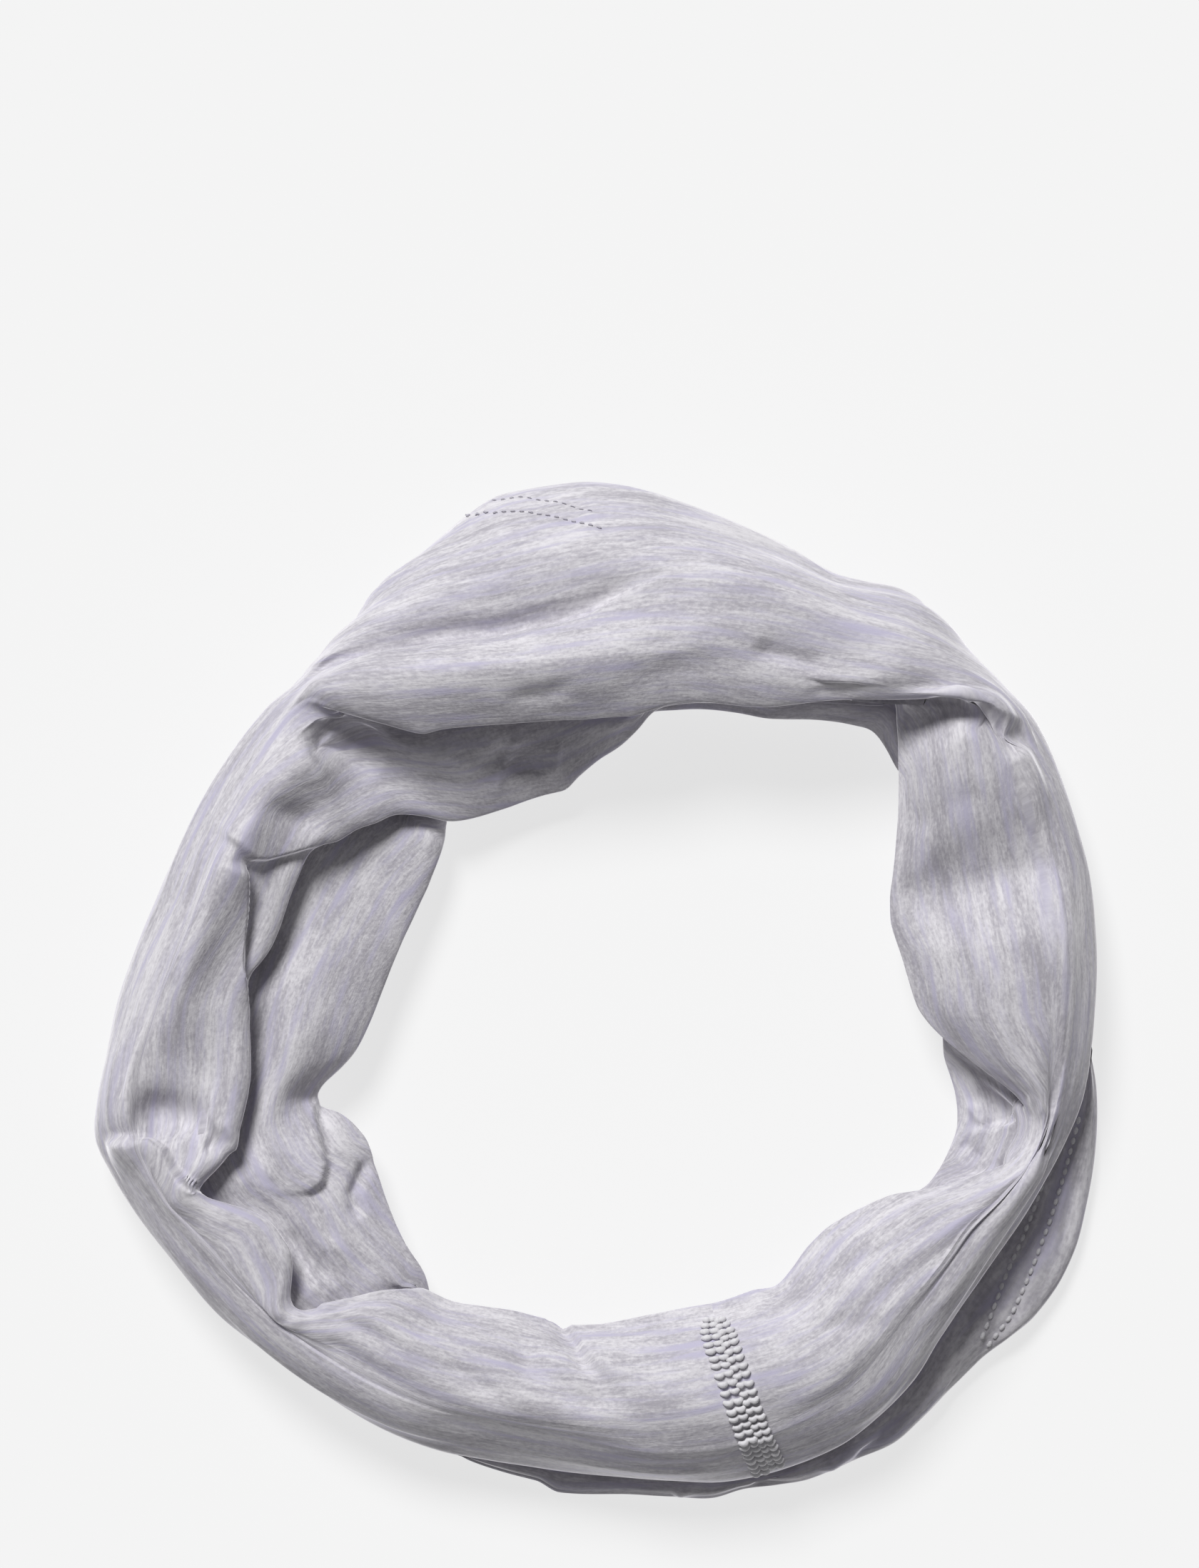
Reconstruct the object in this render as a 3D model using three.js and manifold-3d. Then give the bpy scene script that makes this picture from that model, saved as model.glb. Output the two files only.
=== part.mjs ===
// A neck tube of thin heathered jersey, scrunched down into a soft ring and lying on a table.
// Millimetres, +Z up. Every stretch of cloth that shows is a thin wall of its own. The walls follow
// named lines that run round the ring: each line is a short table of rows [deg, out, up, ...], where
// deg is the turn about the ring's middle from +X, out the distance from that middle and up the
// height over the table. A section through the ring joins the lines in order, from the foot on the
// table over the outside, down the layered folds to the neck opening.
import * as THREE from 'three';
import { mergeVertices } from 'three/addons/utils/BufferGeometryUtils.js';
import Module from 'manifold-3d';

// ---- sizes ----
const MIDDLE = [3.92, -2.745];  // the ring's middle, from the middle of its outline
const WALL = 1.2;             // the cloth wall, a modelling thickness
const GAP = 0.32;             // air left between two pieces that meet
const CLEAR = 0.95;            // air left over the hidden folds
const FOLD = 2.1;             // radius of a turned fold
const HOOK = 4.2;             // how far a folded edge is turned back under
const LIP = 4.7;              // how far the next layer runs on beneath an edge
const FOOT_IN = 6.5;          // the outer roll's foot, inside its outermost line
const HEM_TUCK = 4.0;         // the low hem runs in this far under the outer roll
const HEM_RISE = 1.45;        // and is this high there
const SEAM_RISE = 0.9;        // the flatlock seam's thickness on the cloth
const BEND_ROWS = 4;          // mm of cloth that a turn of one radian counts as, when rows are set

// ---- lines round the ring: [deg, out, up] ----
const RIM = line([
  [0, 92.4, 10], [6, 93.6, 9.6], [12, 94.4, 9], [20, 95, 9], [26, 96, 9], [31, 97.1, 10],
  [35, 97.6, 10], [40, 96.8, 10], [45, 96.6, 10], [50, 97.5, 10], [53, 98.2, 9], [56, 97.2, 9],
  [60, 94.4, 9], [64, 92.8, 9], [70, 93.7, 8], [76, 95.3, 7], [83, 97.5, 6], [90, 100.7, 5.5],
  [95, 102.1, 5.5], [103, 102.3, 5.5], [106, 100.4, 6], [110, 97, 7], [115, 94.8, 8],
  [120, 92.8, 9], [127, 90.3, 10], [134, 88.7, 11], [140, 89.6, 11], [150, 90.1, 11],
  [160, 90.7, 11], [166, 91.6, 10], [172, 93.6, 10], [180, 97.3, 9], [186, 100.1, 9],
  [190, 102.7, 9], [194.5, 105, 10.4], [198, 103.8, 11.6], [203, 101.8, 12.8], [210, 99.1, 13.6],
  [218, 97.4, 13.6], [224, 95.4, 13.4], [232, 94.1, 12.8], [240, 93.7, 12], [248, 92.7, 10.8],
  [254, 91.4, 9.8], [260, 90.8, 9], [268, 91.1, 8], [276, 92.5, 8], [283, 94.5, 8], [289, 95, 9],
  [296, 94.8, 11.6], [302, 93.4, 13.2], [308, 91.6, 14.6], [314, 88.8, 15.2], [320, 87.4, 15.2],
  [326, 87, 15.2], [334, 87.5, 14.8], [342, 88.7, 13], [350, 90.6, 12], [356, 91.6, 11],
]);
const CREST = line([
  [0, 90.8, 16.2], [20, 93.2, 15], [30, 94.8, 16], [38, 94.9, 18], [45, 92.4, 23], [52, 90, 26],
  [60, 86.6, 27.5], [75, 86, 28], [84, 86.5, 26], [90, 87, 24.6], [98, 87, 24], [106, 86.5, 23.6],
  [113, 87, 22.4], [120, 87.4, 21], [127, 87.6, 19.2], [131, 88, 18.5], [134, 87.6, 17.5],
  [140, 88, 16], [165, 89.6, 15], [180, 95.4, 14.6], [194.5, 102.6, 15.6], [203, 100.6, 16.2],
  [218, 96.4, 16.8], [240, 92.7, 16], [260, 89, 15], [285, 92.8, 15], [300, 93.1, 17.2],
  [314, 88, 18.4], [326, 86.2, 18.4], [342, 88.1, 16.8],
]);
const VALE = line([
  [0, 89, 18.6], [20, 91.6, 17.5], [30, 93.4, 18.5], [38, 93.9, 20], [45, 89.4, 25.5],
  [52, 85.5, 28.5], [60, 81, 29.5], [75, 79.5, 29.5], [84, 78.5, 28], [90, 77.4, 26.8],
  [98, 76, 25.8], [106, 75.6, 24.8], [113, 77.4, 23.8], [120, 80, 22.2], [127, 84.9, 19.8],
  [131, 86.6, 18], [134, 86.8, 19], [140, 86.6, 18.5], [165, 88, 17.5], [180, 93.8, 18],
  [194.5, 101, 18.8], [203, 98.8, 18.4], [218, 94.8, 19], [240, 91, 18.4], [260, 87.4, 17.5],
  [285, 91, 17.5], [300, 91.4, 19.2], [314, 86.2, 20], [326, 84.4, 20.2], [342, 87.1, 18.1],
]);
const BROW = line([
  [0, 87.2, 21.6], [8, 88.2, 22], [13, 89, 20.4], [18, 89.8, 18.4], [22, 90.4, 18.6],
  [30, 92.6, 21.8], [38, 93, 23.8], [45, 86.5, 26], [52, 80, 29.5], [60, 74.5, 30], [75, 70, 31.5],
  [84, 68.5, 32], [90, 67.5, 32.5], [98, 67, 33], [106, 68, 33.5], [113, 70.5, 33], [120, 74, 32],
  [127, 79, 30.5], [131, 83, 28.5], [134, 85.4, 25.5], [140, 85.2, 21], [165, 86.4, 21.6],
  [180, 92, 20.6], [188, 96, 20], [194.5, 99.4, 21.2], [203, 96.6, 20.4], [218, 92.4, 21],
  [240, 88.6, 20.6], [260, 85.6, 20], [285, 89.2, 20], [300, 89.2, 20.8], [314, 84, 21.4],
  [326, 82.4, 21.6], [334, 84.6, 20.4], [339, 85.9, 19.4], [342, 86.2, 19.2],
]);
const SHOULDER = line([   // the middle layer's high part
  [0, 79, 24], [4, 79, 24.4], [9, 79, 24], [14, 79.3, 21.2], [18, 79.6, 19.2], [22, 80.2, 20],
  [27, 81.4, 22.8], [33, 84, 25.2], [38, 86, 25.6], [43, 84, 17.7], [46, 82, 17], [60, 67, 15.5],
  [75, 60, 15], [84, 57.2, 14.8], [90, 55, 14.6], [95, 54.3, 14.2], [100, 53.8, 14.2],
  [105, 54, 14.2], [112, 55.5, 14.3], [120, 58, 15.3], [126, 61, 17.2], [130, 66, 18.4],
  [133, 73, 18.8], [137, 78, 23.2], [143, 79, 27.4], [150, 80, 29], [160, 82, 29.8],
  [170, 84, 28.4], [180, 87, 25.2], [188, 90.6, 21.8], [193, 93, 20.8], [197, 94, 23.2],
  [203, 93.6, 23.6], [212, 89, 24.2], [222, 90, 24], [228, 86, 24.4], [240, 82, 24.6],
  [255, 80, 25.6], [270, 79, 26], [285, 80.5, 25.4], [300, 81, 24.6], [315, 78, 24.6],
  [326, 78, 24.4], [334, 81.5, 22.4], [339, 84.4, 18.8], [343, 84.9, 17.6], [346, 84, 20.2],
  [352, 80.5, 22.6],
]);
const SLOPE = line([      // the middle layer, on its way in
  [0, 67, 22], [4, 66.6, 22.2], [9, 66.2, 21.8], [14, 66, 19], [18, 66.4, 17.2], [22, 67.2, 17.6],
  [27, 68.8, 20.2], [33, 72, 22.4], [38, 75.5, 22.2], [43, 79, 16.4], [46, 80, 15.6], [60, 66, 14],
  [75, 61, 13.6], [84, 57.5, 13.4], [90, 54, 13.8], [95, 52.3, 12.6], [100, 50.5, 12],
  [105, 49.5, 11.8], [112, 50, 12], [120, 51.5, 12.8], [126, 54, 13.6], [130, 57.5, 14.6],
  [133, 60.5, 15], [137, 64.5, 17.2], [144, 68, 21.4], [150, 71, 24], [158, 72.4, 23.4],
  [165, 72.8, 22.8], [180, 78, 23.6], [190, 80, 21.4], [195, 83, 22.4], [200, 87, 24.5],
  [203.5, 91.8, 24], [207, 88, 24], [212, 83.5, 24], [218, 84.5, 23.5], [222.5, 88.4, 24.5],
  [227, 81.5, 24], [232, 75, 24.4], [240, 73, 23.4], [255, 70, 22.6], [270, 69, 23], [285, 69, 23],
  [300, 70.5, 22.2], [315, 68, 22], [326, 71, 21.4], [332, 76.5, 21.5], [337, 82, 19],
  [341, 84.2, 16.9], [344.5, 83.9, 16.9], [348, 79, 19.8], [353, 72, 20.6],
]);
const INNER = line([      // the low layer, between the middle layer's edge and the opening
  [0, 68, 9], [30, 72, 9], [42, 76, 10], [50, 77, 10], [58, 71, 10], [66, 66, 10], [82, 62, 9],
  [100, 58, 8], [125, 59, 8], [133, 60, 10.4], [140, 54, 11.6], [150, 55, 12.8], [165, 57, 14.8],
  [180, 61, 17], [190, 65, 18], [195, 69, 17.5], [200, 71.5, 17], [206, 71, 17.5], [212, 68, 16],
  [222, 69, 15], [230, 68.5, 14], [242, 76, 9], [270, 72, 8], [320, 74, 8], [326, 76, 7.4],
  [330, 76, 7.8], [336, 77, 8.6], [342, 78, 9], [349, 73, 9], [356, 69, 8.6],
]);

// ---- folded edges round the ring: [deg, out, up, tuck, drop] ----
// tuck is how far the cloth is folded back under the edge; under zero the fold opens out and is gone.
// drop is how far the next layer lies below the edge.
const FRONT = line([      // the front roll's edge, over the middle layer
  [0, 85.6, 23, -4, 3], [8, 86.6, 23.5, -4, 3], [13, 87.3, 21.8, -4, 3], [18, 88.2, 19.3, -4, 3],
  [22, 89, 19.6, -4, 3], [27, 90.2, 22.2, -4, 3], [31, 91.2, 23.4, -3, 3], [35, 91.6, 24.6, -2, 3],
  [38, 91.2, 25, -1, 4], [40, 89.7, 25.2, 0, 6], [42.5, 87, 25.6, 4, 6.5], [45, 83.4, 26, 7, 8],
  [48, 79.1, 26, 8, 9], [52, 74.6, 26, 8, 10], [56, 70.6, 26, 8, 10.5], [60, 66.9, 26, 8, 11],
  [64, 63.9, 26, 8, 11], [68, 62.2, 26, 8, 11], [75, 60.3, 26, 8, 11], [80, 58.8, 26, 8, 11],
  [84, 56.8, 26, 8, 11], [88, 55.4, 26, 8, 11], [95, 55.2, 26, 8, 11.5], [105, 56.6, 26.5, 8, 12],
  [112, 58.4, 27, 8, 12.5], [118, 60.7, 27, 8, 12], [123, 63, 27, 8, 11], [126, 64.2, 27, 8, 9.5],
  [128, 66.6, 27, 8, 9], [130, 70, 27, 7, 8], [132, 74, 26.6, 5, 6.6], [133.4, 78, 26, 2, 5],
  [134.3, 81.4, 25.5, 0, 4], [135.2, 83.6, 24.5, -1, 3], [137, 84.6, 23, -3, 3],
  [142, 84.2, 22, -4, 3], [165, 84.9, 23, -4, 3], [180, 90.4, 22, -4, 3],
  [194.5, 97.8, 22.2, -4, 3], [203, 95.4, 21.8, -2, 3], [218, 90.8, 22, -3, 3],
  [240, 86.6, 22, -4, 3], [260, 84, 22, -4, 3], [285, 87.6, 22, -4, 3], [300, 87, 22, -4, 3],
  [314, 82, 22.4, -4, 3], [326, 80.6, 22.4, -4, 3], [334, 83, 21.2, -3, 3],
  [339, 84.9, 18.9, -2, 3], [342, 85.6, 18.2, -2, 3],
]);
const MIDDLE_EDGE = line([ // the middle layer's edge, over the low layer or over the opening
  [0, 57.4, 13, 8, 6], [5, 56.2, 13, 8, 6], [10, 55.6, 13, 8, 6], [16, 55.1, 13, 8, 6],
  [21, 56.2, 13, 8, 6], [26, 58.8, 14, 8, 6], [31, 62.2, 14, 8, 6], [36, 66.3, 14, 8, 6],
  [40, 70.1, 14, 8, 6], [43, 73.6, 14, 8, 6], [45.5, 76.5, 14, 8, 6], [48, 79.3, 13.5, 7, 6],
  [50, 77, 13, 7, 6], [53, 74, 13, 7, 6], [58, 69.1, 13, 7, 6], [64, 64.2, 13, 7, 6],
  [71, 61.7, 13, 7, 6], [78, 59.7, 12.5, 7, 6], [82, 58.3, 12, 7, 6], [84, 56.8, 12, 7, 6],
  [86, 54, 11.5, 8, 6], [90, 50.3, 9.8, 8, 5], [95, 47.8, 8.8, 8, 5], [100, 45.2, 8.2, 8, 5],
  [105, 43, 8, 8, 5], [110, 43.2, 8, 8, 5], [118, 43.7, 8, 8, 5], [125, 45, 8.6, 8, 5],
  [130, 46.8, 9.6, 8, 5], [133, 48.8, 10.6, 8, 5], [136, 52.8, 12.6, 8, 5],
  [140, 57.3, 15.4, 8, 5.5], [143, 58.8, 17, 8, 6], [146, 61, 18.6, 8, 6], [150, 63.1, 20, 8, 6],
  [152, 65.6, 20.5, 8, 6], [155, 66.4, 20, 8, 6], [160, 66.8, 20, 8, 6], [166, 67.1, 20, 8, 6],
  [170, 68, 20, 8, 6], [173, 69.6, 20.5, 8, 6], [176, 71.5, 21, 8, 6], [180, 71.8, 21, 8, 6],
  [185, 71.9, 21, 8, 6], [190, 72.6, 21, 8, 6], [193, 73.8, 21, 8, 6], [196, 75.7, 21, 8, 6],
  [199, 78.2, 21, 8, 6], [201, 80.6, 21.5, 7, 6], [202.4, 84.8, 21.5, 6, 5.5],
  [203.6, 88.6, 21.5, 4, 5.5], [205, 87.6, 22, 5, 5.5], [206.5, 85.2, 22, 6, 6],
  [208.5, 82.2, 22, 7, 6], [210.5, 80, 22, 8, 6], [213, 79, 22, 8, 6], [216, 79, 22, 8, 6],
  [218, 80.4, 22, 7, 6], [220, 83, 22, 6, 6], [221.5, 85.2, 22, 4, 5.5], [223, 85.8, 22, 3, 5.5],
  [224.5, 83.6, 22, 5, 5.5], [226, 79.8, 21.5, 7, 6], [228, 75.2, 21, 8, 6], [230, 71.6, 20, 8, 6],
  [233, 68.4, 18, 8, 6], [236, 66.6, 16, 8, 6], [240, 66, 14.5, 8, 6], [246, 63.9, 14, 8, 6],
  [252, 62.4, 13.5, 8, 6], [258, 62.2, 13, 8, 6], [261, 63.4, 13, 8, 6], [265, 62.3, 13, 8, 6],
  [270, 60.8, 13, 8, 6], [276, 59.9, 13, 8, 6], [281, 59.7, 13, 8, 6], [290, 60.4, 13, 8, 6],
  [295, 60.7, 13, 8, 6], [299, 62, 13, 8, 6], [303, 60.8, 13, 8, 6], [308, 59.1, 13, 8, 6],
  [312, 58.8, 13, 8, 6], [317, 60, 13, 8, 6], [321, 61.8, 13.5, 8, 6], [325, 64.4, 14, 8, 6],
  [328, 68, 15, 8, 6], [332, 73, 16.5, 7, 7], [336, 78, 17, 5, 6.5], [339, 81.8, 16, 1, 4.5],
  [342, 83.4, 15.6, -2, 4], [344.5, 82.9, 15.6, -2, 4], [346, 80.6, 15.6, 1, 5],
  [348, 76, 16, 5, 5.5], [350, 71, 16, 8, 6], [352, 66.7, 15, 8, 6], [354, 63, 14, 8, 6],
  [357, 59.4, 13.5, 8, 6],
]);
const OPENING = line([    // the low layer's edge at the neck opening
  [0, 60.5, 6, 6, 4], [20, 59.5, 6, 6, 4], [32, 66.5, 5.5, 6, 4], [38, 70, 5, 6, 3],
  [41, 70.6, 5, 6, 3], [44, 71.6, 5, 6, 3], [47, 72.1, 5, 6, 3], [50, 70.6, 5, 6, 3],
  [55, 67.3, 5, 6, 3], [60, 63.8, 5, 6, 3], [63, 62.2, 5, 6, 3], [68, 60.9, 5, 6, 3],
  [75, 59.3, 5, 6, 3], [80, 58, 5, 6, 3], [83, 57.4, 5, 6, 3], [88, 55.5, 5, 5, 3],
  [100, 49, 4.5, 5, 3], [125, 49, 4.5, 5, 3], [131, 50.5, 6, 5, 4], [133.5, 48.8, 8, 5, 5],
  [136, 47.4, 8.5, 5, 5.5], [140, 45.8, 8.4, 5, 6], [145, 44.6, 8.8, 5, 6], [150, 43.8, 9, 5, 6],
  [157, 43.5, 9.4, 5, 6], [165, 44, 10, 5, 6], [172, 45, 10, 5, 6], [180, 47, 10, 5, 6],
  [186, 49.6, 10, 5, 6], [190, 52.5, 10, 5, 6], [192.5, 55.8, 9.5, 5, 6], [195, 60.3, 9, 5, 6],
  [197, 61.8, 8.5, 5, 5.5], [198.5, 61.6, 8.5, 5, 5.5], [200.5, 59.2, 8.5, 5, 5.5],
  [204, 56.8, 9, 5, 6], [208, 55.8, 9, 5, 6], [213, 56.7, 9, 5, 6], [220, 59, 9, 5, 6],
  [228, 62.4, 9, 5, 6], [234, 64.6, 8, 5, 5], [239, 68.6, 6, 5, 4], [246, 67.5, 5, 5, 3],
  [258, 65.5, 5, 5, 3], [290, 63.5, 5, 5, 3], [312, 62, 5, 5, 3], [322, 65, 5.5, 5, 3.5],
  [327, 67.6, 5.6, 5, 3.5], [330, 69.2, 5.4, 5, 4], [335, 69.7, 5.2, 5, 4], [339, 69.6, 5.2, 5, 4],
  [342, 68.7, 5.2, 5, 4], [345, 67.2, 5.2, 5, 4], [348, 65.2, 5.2, 5, 4], [351, 63.4, 5.6, 5, 3.6],
  [355, 62.6, 6, 6, 4],
]);
const HEM = line([        // the low hem that lies out on the table: [deg, out, up]
  [0, 93.4, 1.7], [4, 93.2, 1.7], [30, 90, 1.7], [240, 91, 1.7], [247, 93, 1.7], [252, 93.7, 1.7],
  [256, 93.9, 1.7], [260, 94.2, 1.7], [263, 95.8, 1.7], [270, 95.4, 1.7], [276, 96.4, 1.7],
  [281, 97.8, 1.8], [284, 97.4, 1.8], [288, 98.4, 1.9], [292, 99.5, 2], [297, 99.7, 2],
  [302, 100.6, 2], [306, 99.7, 1.9], [311, 98.6, 1.8], [315, 98.4, 1.8], [319, 99.4, 1.8],
  [323, 100.9, 1.9], [327, 101.2, 1.9], [331, 100.7, 1.8], [337, 98.7, 1.7], [343, 96.7, 1.7],
  [350, 94.9, 1.7], [356, 93.9, 1.7],
]);

// ---- where a section is cut: closer together where an edge turns quickly ----
const CUTS = [0, 8, 16, 23, 29, 34, 38, 41, 44, 49, 53, 58, 64, 71, 78, 83, 86, 89, 94, 100, 107, 114,
  120, 125, 128, 131, 133, 135, 137, 140, 145, 150, 153, 157, 163, 169, 175, 181, 187, 192, 195, 198,
  200.8, 202.4, 203.5, 205.3, 208, 212, 216, 219.5, 223, 225.3, 228, 233, 238, 246, 255, 262, 270,
  278, 284.2, 289.7, 298, 307, 318, 328, 332, 335, 339, 342, 344, 347, 350, 353];

// ---- a line's values at any turn, by a smooth curve that never overshoots its rows ----
function line(rows) {
  const n = rows.length, width = rows[0].length;
  const deg = i => rows[((i % n) + n) % n][0] + 360 * Math.floor(i / n);
  const val = (i, c) => rows[((i % n) + n) % n][c];
  const rise = (i, c) => (val(i + 1, c) - val(i, c)) / (deg(i + 1) - deg(i));
  const lean = (i, c) => {
    const a = rise(i - 1, c), b = rise(i, c);
    if (a * b <= 0) return 0;
    const h0 = deg(i) - deg(i - 1), h1 = deg(i + 1) - deg(i);
    return (3 * (h0 + h1)) / ((2 * h1 + h0) / a + (h1 + 2 * h0) / b);
  };
  return turn => {
    let t = ((turn % 360) + 360) % 360, i = n - 1;
    if (t < rows[0][0]) t += 360;
    else while (rows[i][0] > t) i -= 1;
    if (t >= rows[n - 1][0]) i = n - 1;
    const h = deg(i + 1) - deg(i), u = (t - deg(i)) / h, out = [];
    for (let c = 1; c < width; c += 1) {
      const y0 = val(i, c), y1 = val(i + 1, c), m0 = lean(i, c) * h, m1 = lean(i + 1, c) * h;
      out.push(y0 * (2 * u ** 3 - 3 * u * u + 1) + m0 * (u ** 3 - 2 * u * u + u)
        + y1 * (3 * u * u - 2 * u ** 3) + m1 * (u ** 3 - u * u));
    }
    return out;
  };
}

const mix = (a, b, w) => a + (b - a) * w;
const ease = w => { const c = Math.min(1, Math.max(0, w)); return c * c * (3 - 2 * c); };

// ---- a folded edge: the cloth turns round FOLD, runs back by its tuck and comes out below ----
// When the fold is open its points lie along the slope, from the point before it to the next one.
function foldPoints(tag, [out, up, tuck, drop], before, next, limit = Infinity, room = Infinity) {
  const w = ease((tuck + 1) / 6), r = Math.min(FOLD, drop * 0.4), back = Math.max(tuck, LIP + 1.4);
  const hem = by => Math.min(out + by, Math.max(room, out + 0.3));
  const dx = next[0] - out, dz = next[1] - up, d = Math.hypot(dx, dz) || 1;
  const along = s => [out + (dx / d) * s, up + (dz / d) * s];
  const reach = Math.min(6.5, d * 0.7), lip = Math.min(LIP, limit - out, hem(back) - out - 0.6);
  const rows = [
    ['over', [out + r, up + 0.95 * r], [mix(out, before[0], 0.45), mix(up, before[1], 0.45)]],
    ['edge', [out, up], along(0)],
    ['under', [hem(r), up - 0.95 * r], along(reach * 0.2)],
    ['hook', [hem(HOOK), up - r], along(reach * 0.35)],
    ['turn', [hem(back), up - r], along(reach * 0.5)],
    ['back', [hem(back), up - drop], along(reach * 0.65)],
    ['lip', [out + lip, up - drop], along(reach * 0.8)],
    ['below', [out + Math.min(0.6, lip - 1.4), up - drop - 0.2], along(reach)],
  ];
  return rows.map(([name, shut, open]) => ({
    name: `${tag}.${name}`, r: mix(open[0], shut[0], w), z: mix(open[1], shut[1], w),
  }));
}

// the middle layer runs in all the way: its two points keep their order between the layer's ends, and
// a layer with no room for them runs straight
function settle(start, end, shoulder, slope) {
  const span = start.r - end.r;
  if (span < 2.5) {
    [[shoulder, 0.35], [slope, 0.7]].forEach(([p, w]) => {
      p[0] = mix(start.r, end.r, w);
      p[1] = mix(start.z, end.z, w);
    });
    return;
  }
  shoulder[0] = Math.min(shoulder[0], start.r - 0.2 * span);
  slope[0] = Math.max(end.r + 0.2 * span, Math.min(slope[0], shoulder[0] - 0.2 * span));
  shoulder[0] = Math.max(shoulder[0], slope[0] + 0.2 * span);
}

function sectionPoints(deg) {
  const [rim, rimUp] = RIM(deg), shoulder = SHOULDER(deg), slope = SLOPE(deg), inner = INNER(deg);
  const point = (name, [r, z]) => ({ name, r, z });
  const front = FRONT(deg), edge = MIDDLE_EDGE(deg), hole = OPENING(deg), brow = BROW(deg);
  const room = brow[0] - 2 * WALL - 1;
  const roll = foldPoints('front', front, brow, shoulder, rim - 6, room);
  const middle = foldPoints('edge', edge, slope, inner, Infinity, room);
  const start = roll[roll.length - 1], lip = roll[roll.length - 2];
  if (inside(deg % 360, FLAP)) {
    start.r = Math.max(start.r, middle[0].r + 0.5);
    lip.r = Math.max(lip.r, start.r + 0.8);
  }
  settle(start, middle[0], shoulder, slope);
  const below = middle[middle.length - 1];      // a narrow low layer runs straight to its edge
  below.r = Math.max(below.r, hole[0] + 3.6);
  inner[0] = Math.max(hole[0] + 3, Math.min(inner[0], below.r - 0.5));
  inner[1] = Math.min(inner[1], below.z + 0.6 + 0.25 * (below.r - inner[0]));
  hole[1] = Math.min(hole[1], inner[1] - 1.6);
  return [
    point('foot', [rim - FOOT_IN, WALL * 0.75]),
    point('low', [rim - 1.6, rimUp * 0.5]),
    point('rim', [rim, rimUp]),
    point('crest', CREST(deg)), point('vale', VALE(deg)), point('brow', brow),
    ...roll,
    point('shoulder', shoulder), point('slope', slope),
    ...middle,
    point('inner', inner),
    ...foldPoints('hole', hole, inner, [hole[0] - 6, hole[1] - 4]).slice(0, 4),
    point('tail', [hole[0] + HOOK + 4, hole[1] - hole[3] * 0.8]),
  ];
}

// ---- a smooth curve through section points, by centripetal spans ----
function curve(points, per) {
  const path = [], n = points.length;
  for (let i = 0; i + 1 < n; i += 1) {
    const p = [Math.max(0, i - 1), i, i + 1, Math.min(n - 1, i + 2)].map(k => points[k]);
    const gap = (a, b) => Math.max(1e-3, Math.sqrt(Math.hypot(a.r - b.r, a.z - b.z)));
    const t1 = gap(p[0], p[1]), t2 = t1 + gap(p[1], p[2]), t3 = t2 + gap(p[2], p[3]);
    const at = (t, key) => {
      const lerp = (a, b, ta, tb) => (tb - ta < 1e-9 ? a : a + ((b - a) * (t - ta)) / (tb - ta));
      const a1 = i === 0 ? p[1][key] : lerp(p[0][key], p[1][key], 0, t1);
      const a2 = lerp(p[1][key], p[2][key], t1, t2);
      const a3 = i + 2 >= n ? p[2][key] : lerp(p[2][key], p[3][key], t2, t3);
      return lerp(lerp(a1, a2, 0, t2), lerp(a2, a3, t1, t3), t1, t2);
    };
    for (let k = 0; k < per; k += 1) {
      const t = mix(t1, t2, k / per);
      path.push({ r: at(t, 'r'), z: at(t, 'z'), name: k === 0 ? points[i].name : '' });
    }
  }
  path.push({ ...points[n - 1] });
  return path;
}

// the stretch of a section between two named points, as rows that crowd where the cloth bends; each
// row carries the direction square to the cloth, towards the table and the ring's heart
function stretch(deg, from, to, rows, [skip, stop] = [0, 0]) {
  const path = curve(sectionPoints(deg), 8), run = [0], load = [0];
  for (let i = 1; i < path.length; i += 1) {
    const a = path[Math.max(0, i - 2)], b = path[i - 1], c = path[i];
    const turn = i > 1 ? Math.abs(Math.atan2((b.r - a.r) * (c.z - b.z) - (b.z - a.z) * (c.r - b.r),
      (b.r - a.r) * (c.r - b.r) + (b.z - a.z) * (c.z - b.z))) : 0;
    run.push(run[i - 1] + Math.hypot(c.r - b.r, c.z - b.z));
    load.push(load[i - 1] + run[i] - run[i - 1] + BEND_ROWS * turn);
  }
  const seek = (table, want) => {
    let i = 1;
    while (i < table.length - 1 && table[i] < want) i += 1;
    return i - 1 + (want - table[i - 1]) / Math.max(1e-9, table[i] - table[i - 1]);
  };
  const read = (table, k) => {
    const i = Math.max(0, Math.min(path.length - 2, Math.floor(k)));
    return mix(table[i], table[i + 1], k - i);
  };
  const at = k => {
    const i = Math.max(0, Math.min(path.length - 2, Math.floor(k)));
    return { r: mix(path[i].r, path[i + 1].r, k - i), z: mix(path[i].z, path[i + 1].z, k - i) };
  };
  const named = (name, by) => seek(run, run[path.findIndex(p => p.name === name)] + by);
  const first = read(load, named(from, skip)), last = read(load, named(to, -stop));
  return Array.from({ length: rows }, (_, k) => {
    const i = seek(load, mix(first, last, k / (rows - 1))), s = read(run, i);
    const a = at(seek(run, Math.max(0, s - 0.8)));
    const b = at(seek(run, Math.min(run[run.length - 1], s + 0.8)));
    const d = Math.hypot(b.r - a.r, b.z - a.z);
    return { ...at(i), inR: -(b.z - a.z) / d, inZ: (b.r - a.r) / d };
  });
}

const moved = (rows, by) => rows.map(p => ({ r: p.r + p.inR * by, z: p.z + p.inZ * by }));

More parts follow.
